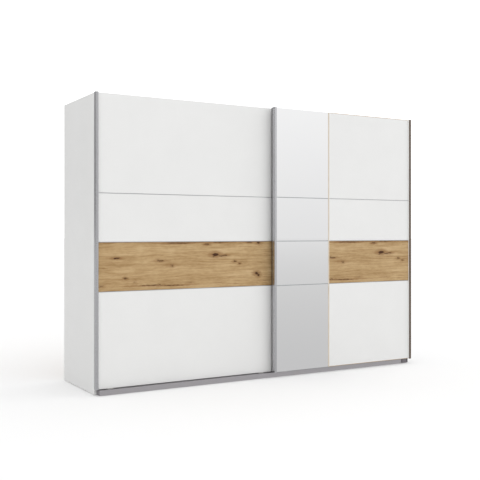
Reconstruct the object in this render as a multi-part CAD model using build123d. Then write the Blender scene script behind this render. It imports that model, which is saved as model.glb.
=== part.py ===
from build123d import *
import os

# Sliding door wardrobe. Millimetres. +Z is up, +X runs along the width and -Y is the front.
# The origin is on the floor, under the middle of the overall width and depth.

# ---- Driving dimensions --------------------------------------------------------------
WIDTH = 2700.0  # over the two side panels
SIDE_TOP = 2000.0  # top edge of the side panels and of both doors
CARCASS_DEPTH = 620.0
DOOR_STACK = 86.0  # from the carcass front edge to the front of the outer door's grip
BOARD = 16.0
GLIDE_HEIGHT = 4.0
PLINTH_HEIGHT = 50.0
TOP_RECESS = 60.0  # from the side panels' top edge down to the top panels
BACK_SHEET = 3.0
BACK_INSET = 8.0  # from the carcass back edge to the front face of the back sheets
GROOVE_DEPTH = 8.0

LEFT_DOOR_WIDTH = 1400.0
RIGHT_DOOR_WIDTH = 1336.0
DOOR_BOTTOM = 41.0
DOOR_GAP = 6.0  # from the carcass front edge to the back of the inner door
DOOR_PITCH = 52.0  # from one door plane to the other
DIVIDER_LEVELS = (681.6, 1011.2, 1337.0)  # centre heights of the strips across both doors
DIVIDER_HEIGHT = 4.0
DIVIDER_PROUD = 0.6

GRIP_WIDTH = 20.0
GRIP_FRONT = 34.0  # from the carcass front edge to the front of the inner door's grip
GRIP_BACK = 3.0
GRIP_OVERHANG_TOP = 2.5
GRIP_OVERHANG_BOTTOM = 2.0
GRIP_WALL = 2.0
SLOT_PLAY = 0.05
SEAL_WIDTH = 4.0
SEAL_DEPTH = 10.0

MIRROR_RIGHT = 499.0  # from the right door's left edge to the left edge of the cover strip
MIRROR_GLASS = 4.0
COVER_STRIP_WIDTH = 10.0

HANGER_INSET = 150.0  # from a door's edge to the axis of its wheel
HANGER_WIDTH = 60.0
HANGER_BOTTOM = 1880.0
HANGER_BRIDGE = 2004.0  # underside of the outer door's hangers where they pass over the inner door
STEEL = 2.5
TRACKS = (9.0, 31.0)  # running ribs, measured back from the carcass front edge
RIB_WIDTH = 3.0
RIB_HEIGHT = 5.0
TRACK_BASE = 3.0
WHEEL_RADIUS = 18.0
WHEEL_GROOVE_RADIUS = 15.0
WHEEL_WIDTH = 10.0
AXLE_RADIUS = 4.0
WHEEL_PLAY = 0.06

RAIL_BOTTOM = 4.0
RAIL_TOP = 36.0
RAIL_DEPTH = 52.0
RAIL_INSET_LEFT = 20.0  # from the outside of the left side panel to the end of the extrusion
RAIL_INSET_RIGHT = 6.0  # from the outside of the right side panel to the end of the right cap
RAIL_CAP_LENGTH = 73.0
RAIL_WALL = 2.0
CHANNELS = ((9.5, 18.5), (39.5, 49.5))  # guide channels, measured forward from the carcass
GUIDE_INSET = 110.0
GUIDE_WIDTH = 40.0

SHELF_UNDERSIDE = 1600.0
SHELF_SETBACK = 20.0
HANGING_RAIL_HEIGHT = 1540.0
PIN_RADIUS = 2.4
PIN_HOLE_RADIUS = 2.5
CAM_RADIUS = 7.5
CAM_FROM_END = 34.0
CAM_DEPTH = 12.5
BOLT_RADIUS = 3.0
FIT_PLAY = 0.05
SCREW_RADIUS = 1.75
WALL_HOLE_RADIUS = 3.0
WALL_BRACKET_X = 900.0

SCREW_HEAD_RADIUS = 3.4
SCREW_HEAD_HEIGHT = 1.4
SCREW_DEPTH = 10.0
SCREW_PAIR = (-20.0, 20.0)  # two screws side by side, measured from the middle of what they hold
STRAP_THICK = 2.0
WIDE_STRAP = 60.0
NARROW_STRAP = 30.0
STRAP_INSET = 60.0  # from a door's edge to the middle of a strap
GUIDE_PLATE = 3.0
GUIDE_SCREW = 32.0  # above the door's lower edge
HANGER_SCREWS = (10.0, 30.0)  # above the hanger's lower edge
REAR_LEG = 41.0  # from the carcass front edge back to the rear face of the outer door's hangers
FIELD_NAMES = ("bottom", "oak_band", "upper", "top")

OVAL_WIDTH = 15.0
OVAL_HEIGHT = 30.0
TRACK_DEPTH = 44.0
TRACK_LIP = 1.5
RAIL_SCREW_Z = 24.0

# ---- Places worked out from them -----------------------------------------------------
LEFT = -WIDTH / 2
RIGHT = WIDTH / 2
FRONT = DOOR_STACK / 2 - CARCASS_DEPTH / 2
BACK = FRONT + CARCASS_DEPTH
INNER_LEFT = LEFT + BOARD
INNER_RIGHT = RIGHT - BOARD
MIDDLE_LEFT = -BOARD / 2
MIDDLE_RIGHT = BOARD / 2
SHEET_FRONT = BACK - BACK_INSET
FLOOR_BOTTOM = GLIDE_HEIGHT + PLINTH_HEIGHT
FLOOR_TOP = FLOOR_BOTTOM + BOARD
LID_TOP = SIDE_TOP - TOP_RECESS
LID_BOTTOM = LID_TOP - BOARD
AXLE_LEVEL = LID_TOP + TRACK_BASE + RIB_HEIGHT + WHEEL_GROOVE_RADIUS + 0.2
RIGHT_DOOR_LEFT = RIGHT - RIGHT_DOOR_WIDTH
LEFT_DOOR_RIGHT = LEFT + LEFT_DOOR_WIDTH
LEFT_DOOR_HANGERS = (LEFT + HANGER_INSET, LEFT_DOOR_RIGHT - HANGER_INSET)
RIGHT_DOOR_HANGERS = (RIGHT_DOOR_LEFT + HANGER_INSET, RIGHT - HANGER_INSET)
BAYS = ((INNER_LEFT, MIDDLE_LEFT), (MIDDLE_RIGHT, INNER_RIGHT))
CAM_ROWS = (FRONT + 80, SHEET_FRONT - 60)
PIN_ROWS = (FRONT + 70, SHEET_FRONT - 60)
PIN_PITCH = 32.0
PIN_LEVELS = [SHELF_UNDERSIDE - PIN_RADIUS + step * PIN_PITCH for step in range(-2, 3)]
PIN_DEPTH = 7.5
COVER_STRIP_X = RIGHT_DOOR_LEFT + MIRROR_RIGHT + COVER_STRIP_WIDTH / 2
FIELD_LEVELS = (DOOR_BOTTOM, *DIVIDER_LEVELS, SIDE_TOP)
EDGE_PLAY = GRIP_WALL + 0.5
RAIL_CENTRE_Y = FRONT + 300
TRACK_SCREW_Y = FRONT + 20
BRACKET_SCREW_Y = SHEET_FRONT - 30


# ---- Shapes used by many pieces ------------------------------------------------------
def block(x0, x1, y0, y1, z0, z1):
    """A rectangular solid between two corners."""
    place = Pos((x0 + x1) / 2, (y0 + y1) / 2, (z0 + z1) / 2)
    return place * Box(x1 - x0, y1 - y0, z1 - z0)


def rod(axis, along, centre, radius):
    """A round bar along X, Y or Z between two values, centred on the other two."""
    turn = {"X": Rot(0, 90, 0), "Y": Rot(90, 0, 0), "Z": Rot(0, 0, 0)}[axis]
    middle = (along[0] + along[1]) / 2
    place = {
        "X": Pos(middle, centre[0], centre[1]),
        "Y": Pos(centre[0], middle, centre[1]),
        "Z": Pos(centre[0], centre[1], middle),
    }[axis]
    return place * turn * Cylinder(radius, along[1] - along[0])


def bar(plane, outline, length):
    """A straight bar: a closed outline drawn on a plane and pushed along its normal."""
    return extrude(plane * make_face(Polyline(*outline, close=True)), amount=length)


def softened(solid, amount=0.6):
    """The same solid with a small chamfer on all its edges, as on an edged board."""
    return chamfer(solid.edges(), amount)


def group(solids):
    """Separate solids kept as one set."""
    return Compound(children=list(solids))


def save(node, shape):
    export_step(shape, f"parts/{node}.step")


# ---- Carcass boards ------------------------------------------------------------------
def bolt_levels():
    return (FLOOR_BOTTOM + BOARD / 2, LID_BOTTOM + BOARD / 2)


def side_panel(outer, inner):
    """A full-depth side with a groove for the back sheets, bolt holes and pin holes."""
    side = 1 if inner > outer else -1
    x0, x1 = sorted((outer, inner))
    panel = softened(block(x0, x1, FRONT, BACK, GLIDE_HEIGHT, SIDE_TOP))
    g0, g1 = sorted((inner - side * GROOVE_DEPTH, inner + side))
    panel -= block(g0, g1, SHEET_FRONT - 0.1, SHEET_FRONT + BACK_SHEET + 0.1, FLOOR_BOTTOM, SIDE_TOP + 1)
    b0, b1 = sorted((inner - side * 12, inner + side))
    for y in CAM_ROWS:
        for z in bolt_levels():
            panel -= rod("X", (b0, b1), (y, z), BOLT_RADIUS + FIT_PLAY)
    p0, p1 = sorted((inner - side * (PIN_DEPTH + 1), inner + side))
    for y in PIN_ROWS:
        for z in PIN_LEVELS:
            panel -= rod("X", (p0, p1), (y, z), PIN_HOLE_RADIUS)
    return panel


def centre_partition():
    """The board between the two bays, with through bolt holes and pin holes on both faces."""
    panel = softened(block(MIDDLE_LEFT, MIDDLE_RIGHT, FRONT, SHEET_FRONT, GLIDE_HEIGHT, LID_TOP))
    for y in CAM_ROWS:
        for z in bolt_levels():
            panel -= rod("X", (MIDDLE_LEFT - 1, MIDDLE_RIGHT + 1), (y, z), BOLT_RADIUS + FIT_PLAY)
    for y in PIN_ROWS:
        for z in PIN_LEVELS:
            panel -= rod("X", (MIDDLE_LEFT - 1, MIDDLE_RIGHT + 1), (y, z), PIN_HOLE_RADIUS)
    return panel


def cam_places(bay):
    """Centres of the four cam locks in a panel that fills a bay."""
    ends = ((bay[0], 1), (bay[1], -1))
    return [(x + side * CAM_FROM_END, y, x, side) for x, side in ends for y in CAM_ROWS]


def deck(bay, z0, cams_on_top):
    """A top or bottom panel of one bay, bored for cam locks on its hidden face."""
    panel = softened(block(bay[0], bay[1], FRONT, SHEET_FRONT, z0, z0 + BOARD))
    pocket = (z0 + BOARD - CAM_DEPTH, z0 + BOARD + 1) if cams_on_top else (z0 - 1, z0 + CAM_DEPTH)
    for x, y, end, side in cam_places(bay):
        panel -= rod("Z", pocket, (x, y), CAM_RADIUS + FIT_PLAY)
        bore = sorted((end - side, x))
        panel -= rod("X", bore, (y, z0 + BOARD / 2), BOLT_RADIUS + FIT_PLAY)
    return panel


def top_panel(bay):
    """A top panel, also bored for the screws of the running track and the wall bracket."""
    panel = deck(bay, LID_BOTTOM, True)
    for x in track_screw_places():
        if bay[0] < x < bay[1]:
            panel -= rod("Z", (LID_TOP - 13, LID_TOP + 1), (x, TRACK_SCREW_Y), SCREW_RADIUS)
    for x in (-WALL_BRACKET_X, WALL_BRACKET_X):
        if bay[0] < x < bay[1]:
            panel -= rod("Z", (LID_TOP - 13, LID_TOP + 1), (x, BRACKET_SCREW_Y), SCREW_RADIUS)
    return panel


def cam_locks():
    """The eccentric locks, each with its driving slot, in the top and bottom panels."""
    locks = []
    for bay in BAYS:
        for x, y, _, _ in cam_places(bay):
            for low, slot_low in ((LID_TOP - CAM_DEPTH, LID_TOP - 2), (FLOOR_BOTTOM, FLOOR_BOTTOM - 1)):
                lock = rod("Z", (low + 0.1, low + CAM_DEPTH - 0.1), (x, y), CAM_RADIUS)
                lock -= block(x - 5, x + 5, y - 1, y + 1, slot_low, slot_low + 3)
                locks.append(lock)
    return group(locks)


def cam_bolts():
    """Single bolts at the sides, and double-ended ones through the centre partition."""
    bolts = []
    reach = CAM_FROM_END - CAM_RADIUS - 0.2
    spans = (
        (INNER_LEFT - 11.5, INNER_LEFT + reach),
        (MIDDLE_LEFT - reach, MIDDLE_RIGHT + reach),
        (INNER_RIGHT - reach, INNER_RIGHT + 11.5),
    )
    for span in spans:
        for y in CAM_ROWS:
            for z in bolt_levels():
                bolts.append(rod("X", span, (y, z), BOLT_RADIUS))
    return group(bolts)


def plinth_boards():
    """Front and rear boards that carry the bottom panel of each bay."""
    boards = []
    for x0, x1 in BAYS:
        front = softened(block(x0, x1, FRONT, FRONT + BOARD, GLIDE_HEIGHT, FLOOR_BOTTOM), 0.4)
        for x in rail_screw_places():
            if x0 < x < x1:
                front -= rod("Y", (FRONT - 1, FRONT + 12), (x, RAIL_SCREW_Z), SCREW_RADIUS)
        boards.append(front)
        rear = block(x0, x1, SHEET_FRONT - BOARD, SHEET_FRONT, GLIDE_HEIGHT, FLOOR_BOTTOM)
        boards.append(softened(rear, 0.4))
    return group(boards)


def floor_glides():
    """Plastic glides under the upright boards and the middle of each front plinth board."""
    glides = []
    for x in (LEFT + BOARD / 2, 0.0, RIGHT - BOARD / 2):
        for y in (FRONT + 60, SHEET_FRONT - 60):
            glides.append(softened(block(x - 7, x + 7, y - 22, y + 22, 0, GLIDE_HEIGHT), 1))
    for x0, x1 in BAYS:
        middle = (x0 + x1) / 2
        for y in (FRONT + BOARD / 2, SHEET_FRONT - BOARD / 2):
            glides.append(softened(block(middle - 22, middle + 22, y - 7, y + 7, 0, GLIDE_HEIGHT), 1))
    return group(glides)


# ---- Back ----------------------------------------------------------------------------
def sheet_edges():
    """Left and right edge of each of the four back sheets."""
    start = INNER_LEFT - GROOVE_DEPTH + 0.5
    pitch = -start / 2
    gap = 0.6
    left_half = [(start, start + pitch - gap), (start + pitch + gap, -gap)]
    return left_half + [(-b, -a) for a, b in reversed(left_half)]


def back_sheets():
    return group(
        block(x0, x1, SHEET_FRONT, SHEET_FRONT + BACK_SHEET, FLOOR_BOTTOM + 0.5, LID_TOP - 0.5)
        for x0, x1 in sheet_edges()
    )


def back_joiners():
    """H-shaped plastic strips that hold two neighbouring sheets in line."""
    edges = sheet_edges()
    strips = []
    for seam in ((edges[0][1] + edges[1][0]) / 2, (edges[2][1] + edges[3][0]) / 2):
        low, high = FLOOR_TOP + 0.5, LID_BOTTOM - 0.5
        strip = block(seam - 0.5, seam + 0.5, SHEET_FRONT - 1, SHEET_FRONT + BACK_SHEET + 1, low, high)
        strip += block(seam - 9, seam + 9, SHEET_FRONT - 1, SHEET_FRONT, low, high)
        strip += block(
            seam - 9, seam + 9, SHEET_FRONT + BACK_SHEET, SHEET_FRONT + BACK_SHEET + 1, low, high
        )
        strips.append(strip)
    return group(strips)


# ---- Inside the bays -----------------------------------------------------------------
def shelf(bay):
    return softened(
        block(
            bay[0] + 0.5,
            bay[1] - 0.5,
            FRONT + SHELF_SETBACK,
            SHEET_FRONT - 2,
            SHELF_UNDERSIDE,
            SHELF_UNDERSIDE + BOARD,
        )
    )


def shelf_pins():
    pins = []
    reach = 9.0
    for x0, x1 in BAYS:
        for y in PIN_ROWS:
            centre = (y, SHELF_UNDERSIDE - PIN_RADIUS)
            pins.append(rod("X", (x0 - PIN_DEPTH, x0 + reach), centre, PIN_RADIUS))
            pins.append(rod("X", (x1 - reach, x1 + PIN_DEPTH), centre, PIN_RADIUS))
    return group(pins)


def oval(x0, x1, grow):
    """An upright oval bar along X, with its outline grown by the given amount."""
    outline = SlotOverall(OVAL_HEIGHT + 2 * grow, OVAL_WIDTH + 2 * grow, rotation=90)
    plane = Plane(origin=(x0, RAIL_CENTRE_Y, HANGING_RAIL_HEIGHT), x_dir=(0, 1, 0), z_dir=(1, 0, 0))
    return extrude(plane * outline, amount=x1 - x0)


def hanging_rail(bay):
    """An oval steel tube from one flange to the other."""
    wall = 1.2
    return oval(bay[0] + 3.2, bay[1] - 3.2, 0) - oval(bay[0], bay[1], -wall)


def rail_flanges():
    """The plate and cup at each end of a hanging rail, bored for two screws."""
    flanges = []
    plate = 3.0
    cup = 12.0
    for x0, x1 in BAYS:
        for wall, side in ((x0, 1), (x1, -1)):
            p0, p1 = sorted((wall, wall + side * plate))
            c0, c1 = sorted((wall, wall + side * cup))
            h0, h1 = sorted((wall + side * plate, wall + side * (cup + 1)))
            flange = softened(
                block(p0, p1, RAIL_CENTRE_Y - 14, RAIL_CENTRE_Y + 14,
                      HANGING_RAIL_HEIGHT - 34, HANGING_RAIL_HEIGHT + 34), 1
            )
            flange += oval(c0, c1, 2.2)
            flange -= oval(h0, h1, 0.1)
            for z in (HANGING_RAIL_HEIGHT - 26, HANGING_RAIL_HEIGHT + 26):
                flange -= rod("X", (p0 - 1, p1 + 1), (RAIL_CENTRE_Y, z), 2.2)
            flanges.append(flange)
    return group(flanges)


# ---- Running track on top ------------------------------------------------------------
def track_screw_places():
    return [INNER_LEFT + 60 + step * (WIDTH - 2 * BOARD - 120) / 9 for step in range(10)]


def top_track():
    """An extruded double track: a base with two running ribs, and a lip over the board edge."""
    low = LID_TOP
    high = LID_TOP + TRACK_BASE
    outline = [(FRONT - TRACK_LIP, low - 14), (FRONT, low - 14), (FRONT, low), (FRONT + TRACK_DEPTH, low)]
    outline += [(FRONT + TRACK_DEPTH, high)]
    for track in reversed(TRACKS):
        rib_back = FRONT + track + RIB_WIDTH / 2
        rib_front = FRONT + track - RIB_WIDTH / 2
        top = high + RIB_HEIGHT
        outline += [(rib_back, high), (rib_back, top - 1), (rib_back - 1, top)]
        outline += [(rib_front + 1, top), (rib_front, top - 1), (rib_front, high)]
    outline += [(FRONT - TRACK_LIP, high)]
    start = INNER_LEFT + 0.5
    track = bar(Plane.YZ.offset(start), outline, INNER_RIGHT - 0.5 - start)
    for x in track_screw_places():
        track -= rod("Z", (low - 1, high + 1), (x, TRACK_SCREW_Y), SCREW_RADIUS + 0.15)
    return track


def track_end_stops():
    """A buffer on each rib, where the wheel of a fully moved door comes to rest."""
    stops = []
    length = 22.0
    touch = HANGER_INSET - WHEEL_RADIUS - 0.5
    for track in TRACKS:
        y = FRONT + track
        for x0 in (LEFT + touch - length, RIGHT - touch):
            stop = softened(block(x0, x0 + length, y - 6, y + 6, LID_TOP + TRACK_BASE, AXLE_LEVEL + 9), 1)
            stop -= block(
                x0 - 1, x0 + length + 1, y - RIB_WIDTH / 2 - 0.1, y + RIB_WIDTH / 2 + 0.1,
                LID_TOP, LID_TOP + TRACK_BASE + RIB_HEIGHT + 0.1,
            )
            stops.append(stop)
    return group(stops)


# ---- Bottom rail ---------------------------------------------------------------------
def rail_screw_places():
    return [LEFT + 140 + step * (WIDTH - 280) / 7 for step in range(8)]


def rail_span():
    return LEFT + RAIL_INSET_LEFT, RIGHT - RAIL_INSET_RIGHT - RAIL_CAP_LENGTH


def bottom_rail():
    """The guide rail in front of the plinth: an extrusion with one open channel for each door."""
    x0, x1 = rail_span()
    rail = block(x0, x1, FRONT - RAIL_DEPTH, FRONT, RAIL_BOTTOM, RAIL_TOP)
    for near, far in CHANNELS:
        rail -= block(x0 - 1, x1 + 1, FRONT - far, FRONT - near, RAIL_BOTTOM + 8, RAIL_TOP + 1)
    inner_back = CHANNELS[0][1] + RAIL_WALL
    inner_front = CHANNELS[1][0] - RAIL_WALL
    rail -= block(
        x0 - 1, x1 + 1, FRONT - inner_front, FRONT - inner_back, RAIL_BOTTOM + RAIL_WALL, RAIL_TOP - RAIL_WALL
    )
    rail -= block(
        x0 - 1, x1 + 1, FRONT - CHANNELS[0][0] + RAIL_WALL, FRONT - RAIL_WALL,
        RAIL_BOTTOM + RAIL_WALL, RAIL_TOP + 1,
    )
    for x in rail_screw_places():
        rail -= rod("Y", (FRONT - RAIL_WALL - 1, FRONT + 1), (x, RAIL_SCREW_Z), SCREW_RADIUS + 0.15)
    return rail


def bottom_rail_cap_left():
    """A thin end plate on the left end of the bottom rail."""
    x0 = rail_span()[0]
    return softened(block(x0 - 2, x0, FRONT - RAIL_DEPTH, FRONT, RAIL_BOTTOM, RAIL_TOP), 0.5)


def bottom_rail_cap_right():
    """The long end piece on the right, with two upright recesses in its front face."""
    x0 = rail_span()[1]
    x1 = x0 + RAIL_CAP_LENGTH
    front = FRONT - RAIL_DEPTH
    cap = softened(block(x0, x1, front, FRONT, RAIL_BOTTOM, RAIL_TOP), 0.8)
    for a, b in ((x0 + 4, x0 + 16), (x1 - 18, x1 - 8)):
        cap -= block(a, b, front - 1, front + 6, RAIL_BOTTOM + 4, RAIL_TOP - 3)
    return cap


def carcass_screws():
    """Pan head screws that hold the bottom rail, the running track and the wall brackets."""
    screws = []
    for x in rail_screw_places():
        if x < rail_span()[1]:
            shank = rod("Y", (FRONT - RAIL_WALL, FRONT + 11.5), (x, RAIL_SCREW_Z), SCREW_RADIUS - 0.05)
            y = FRONT - RAIL_WALL
            screws.append(shank + rod("Y", (y - SCREW_HEAD_HEIGHT, y), (x, RAIL_SCREW_Z), SCREW_HEAD_RADIUS))
    seats = [(x, TRACK_SCREW_Y, LID_TOP + TRACK_BASE) for x in track_screw_places()]
    seats += [(x, BRACKET_SCREW_Y, LID_TOP + 2) for x in (-WALL_BRACKET_X, WALL_BRACKET_X)]
    for x, y, z in seats:
        shank = rod("Z", (LID_TOP - 12.5, z), (x, y), SCREW_RADIUS - 0.05)
        screws.append(shank + rod("Z", (z, z + SCREW_HEAD_HEIGHT), (x, y), SCREW_HEAD_RADIUS))
    return group(screws)


def wall_brackets():
    """Steel angles on the top panels, with a hole for a screw into the wall."""
    brackets = []
    thick = 2.0
    for x in (-WALL_BRACKET_X, WALL_BRACKET_X):
        outline = [(SHEET_FRONT - 45, LID_TOP), (BACK, LID_TOP), (BACK, LID_TOP + 50)]
        outline += [(BACK - thick, LID_TOP + 50), (BACK - thick, LID_TOP + thick)]
        outline += [(SHEET_FRONT - 45, LID_TOP + thick)]
        bracket = bar(Plane.YZ.offset(x - 15), outline, 30)
        bracket -= rod("Z", (LID_TOP - 1, LID_TOP + thick + 1), (x, BRACKET_SCREW_Y), SCREW_RADIUS + 0.15)
        bracket -= rod("Y", (BACK - thick - 1, BACK + 1), (x, LID_TOP + 32), WALL_HOLE_RADIUS)
        brackets.append(bracket)
    return group(brackets)


# ---- Doors ---------------------------------------------------------------------------
# Each door function takes the plane: how far this door's parts stand in front of the
# inner door's. It is 0 for the left, inner door and DOOR_PITCH for the right, outer door.
def door_back(plane):
    return FRONT - DOOR_GAP - plane


def door_face(plane):
    return door_back(plane) - BOARD


def strap_screws(x, width):
    """X and Z of the screws of one strap: one in each board, or two where the strap is wide."""
    across = SCREW_PAIR if width == WIDE_STRAP else (0.0,)
    fields = zip(FIELD_LEVELS, FIELD_LEVELS[1:])
    return [(x + dx, (low + high) / 2) for low, high in fields for dx in across]


def hanger_screws(x):
    """X and Z of the four screws of one hanger."""
    return [(x + dx, HANGER_BOTTOM + up) for dx in SCREW_PAIR for up in HANGER_SCREWS]


def door_screw_seats(hangers, straps, guides):
    """Where screws enter the back of a door: X, Z and the thickness of what they hold."""
    seats = [(sx, z, STEEL) for x in hangers for sx, z in hanger_screws(x)]
    seats += [(sx, z, STRAP_THICK) for x, width in straps for sx, z in strap_screws(x, width)]
    seats += [(x, DOOR_BOTTOM + GUIDE_SCREW, GUIDE_PLATE) for x in guides]
    return seats


def door_screws(seats, plane):
    screws = []
    for x, z, grip in seats:
        seat = door_back(plane) + grip
        shank = rod("Y", (door_back(plane) - SCREW_DEPTH, seat), (x, z), SCREW_RADIUS)
        head = rod("Y", (seat, seat + SCREW_HEAD_HEIGHT), (x, z), SCREW_HEAD_RADIUS)
        screws.append(shank + head)
    return group(screws)


def bored(panel, seats, plane):
    """A door board with blind holes for the screws that enter its back."""
    box = panel.bounding_box()
    for x, z, _ in seats:
        if box.min.X < x < box.max.X and box.min.Z < z < box.max.Z:
            hole = (door_back(plane) - SCREW_DEPTH - 0.5, door_back(plane) + 1)
            panel -= rod("Y", hole, (x, z), SCREW_RADIUS + FIT_PLAY)
    return panel


def field_edges(level):
    """Bottom and top of one field of a door, clear of the divider strips."""
    half = DIVIDER_HEIGHT / 2
    low = FIELD_LEVELS[level] + (half if level else 0)
    high = FIELD_LEVELS[level + 1] - (half if level < 3 else 0)
    return low, high


def field(x0, x1, level, seats, plane):
    """One of the four boards that a door is made of, from bottom to top."""
    low, high = field_edges(level)
    return bored(softened(block(x0, x1, door_face(plane), door_back(plane), low, high), 0.4), seats, plane)


def divider_strips(x0, x1, plane, back):
    """The three metal strips between the boards, a little proud of them."""
    half = DIVIDER_HEIGHT / 2
    return [
        block(x0, x1, door_face(plane) - DIVIDER_PROUD, back, z - half, z + half) for z in DIVIDER_LEVELS
    ]


def grip_profile(outer, side, plane):
    """The upright edge profile of a door: a slot that takes the board, and a hollow grip in front.

    outer is the door's edge, and side is 1 where the door lies towards +X of it, or else -1.
    """
    back = FRONT - GRIP_BACK - plane
    front = FRONT - GRIP_FRONT - plane
    slot_back = door_back(plane) + SLOT_PLAY
    slot_front = door_face(plane) - SLOT_PLAY
    wide = side * GRIP_WIDTH
    web = side * GRIP_WALL
    outline = [(0, back), (side * 14, back), (side * 14, slot_back), (web, slot_back)]
    outline += [(web, slot_front), (wide, slot_front), (wide, front + 2), (wide - web, front)]
    outline += [(web, front), (0, front + 2)]
    low = DOOR_BOTTOM - GRIP_OVERHANG_BOTTOM
    length = SIDE_TOP + GRIP_OVERHANG_TOP - low
    profile = bar(Plane.XY.offset(low), [(outer + x, y) for x, y in outline], length)
    h0, h1 = sorted((outer + web, outer + wide - web))
    return profile - block(h0, h1, front + GRIP_WALL, slot_front - GRIP_WALL, low - 1, low + length + 1)


def dust_seal(edge):
    """A dark fin on the back of the outer door's grip that narrows the gap to the inner door."""
    back = FRONT - GRIP_BACK - DOOR_PITCH
    return block(edge, edge + SEAL_WIDTH, back, back + SEAL_DEPTH, DOOR_BOTTOM, SIDE_TOP)


def back_straps(straps, plane):
    """Flat steel straps down the back of a door that tie its boards together."""
    y = door_back(plane)
    solids = []
    for x, width in straps:
        strap = block(x - width / 2, x + width / 2, y, y + STRAP_THICK, DOOR_BOTTOM + 16, SIDE_TOP - 30)
        for screw in strap_screws(x, width):
            strap -= rod("Y", (y - 1, y + STRAP_THICK + 1), screw, SCREW_RADIUS + 0.1)
        solids.append(strap)
    return group(solids)


def hanger_holes(hanger, x, plane):
    y = door_back(plane)
    for screw in hanger_screws(x):
        hanger -= rod("Y", (y - 1, y + STEEL + 1), screw, SCREW_RADIUS + 0.1)
    return hanger


def left_door_hangers():
    """Flat hangers on the back of the inner door, each carrying one wheel."""
    solids = []
    back = door_back(0)
    half = HANGER_WIDTH / 2
    for x in LEFT_DOOR_HANGERS:
        plate = block(x - half, x + half, back, back + STEEL, HANGER_BOTTOM, AXLE_LEVEL + 14)
        plate = chamfer(plate.edges().filter_by(Axis.Y), 6)
        plate -= rod("Y", (back - 1, back + STEEL + 1), (x, AXLE_LEVEL), AXLE_RADIUS + 0.02)
        solids.append(hanger_holes(plate, x, 0))
    return group(solids)


def right_door_hangers():
    """Bent hangers that reach from the outer door over the inner door to the rear track."""
    solids = []
    back = door_back(DOOR_PITCH)
    rear = FRONT + REAR_LEG
    under = HANGER_BRIDGE
    over = HANGER_BRIDGE + STEEL
    knee = FRONT - GRIP_FRONT - 6
    outline = [(back, HANGER_BOTTOM), (back + STEEL, HANGER_BOTTOM), (back + STEEL, under - 12)]
    outline += [(knee, under), (rear - STEEL, under), (rear - STEEL, AXLE_LEVEL - 12)]
    outline += [(rear, AXLE_LEVEL - 12), (rear, over), (knee - 1.5, over), (back, under - 11)]
    for x in RIGHT_DOOR_HANGERS:
        hanger = bar(Plane.YZ.offset(x - HANGER_WIDTH / 2), outline, HANGER_WIDTH)
        hanger -= rod("Y", (rear - STEEL - 1, rear + 1), (x, AXLE_LEVEL), AXLE_RADIUS + 0.02)
        solids.append(hanger_holes(hanger, x, DOOR_PITCH))
    return group(solids)


def axle_pins(hangers, start, end, shoulder, head):
    """Shouldered pins. All values are measured back from the carcass front edge."""
    pins = []
    for x in hangers:
        pin = rod("Y", (FRONT + start, FRONT + end), (x, AXLE_LEVEL), AXLE_RADIUS)
        pin += rod("Y", (FRONT + shoulder[0], FRONT + shoulder[1]), (x, AXLE_LEVEL), AXLE_RADIUS + 1.5)
        pin += rod("Y", (FRONT + head[0], FRONT + head[1]), (x, AXLE_LEVEL), AXLE_RADIUS + 2)
        pins.append(pin)
    return group(pins)


def wheel(x, track):
    """A grooved nylon wheel that runs on one rib of the track."""
    y = FRONT + track
    half = WHEEL_WIDTH / 2
    shape = rod("Y", (y - half, y + half), (x, AXLE_LEVEL), WHEEL_RADIUS)
    shape = chamfer(shape.edges(), 1)
    groove_half = RIB_WIDTH / 2 + 0.5
    groove = rod("Y", (y - groove_half, y + groove_half), (x, AXLE_LEVEL), WHEEL_RADIUS + 1)
    groove -= rod("Y", (y - groove_half - 1, y + groove_half + 1), (x, AXLE_LEVEL), WHEEL_GROOVE_RADIUS)
    shape -= groove
    return shape - rod("Y", (y - half - 1, y + half + 1), (x, AXLE_LEVEL), AXLE_RADIUS + WHEEL_PLAY)


def door_guides(places, plane, channel):
    """Plastic guides at the foot of a door, each with a fin that runs in a channel of the rail."""
    back = door_back(plane)
    fin_back = FRONT - CHANNELS[channel][0] - 1.5
    fin_front = FRONT - CHANNELS[channel][1] + 1.5
    arm_low = RAIL_TOP + 1
    arm_high = DOOR_BOTTOM - 0.2 if channel == 0 else arm_low + 5
    half = GUIDE_WIDTH / 2
    guides = []
    for x in places:
        reach = (min(back, fin_front), max(back + GUIDE_PLATE, fin_back))
        guide = block(x - half, x + half, reach[0], reach[1], arm_low, arm_high)
        guide += block(x - half, x + half, back, back + GUIDE_PLATE, arm_low, DOOR_BOTTOM + 42)
        guide += block(x - half, x + half, fin_front, fin_back, RAIL_BOTTOM + 14, arm_high)
        screw = (x, DOOR_BOTTOM + GUIDE_SCREW)
        guide -= rod("Y", (back - 1, back + GUIDE_PLATE + 1), screw, SCREW_RADIUS + 0.1)
        guides.append(guide)
    return group(guides)


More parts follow.
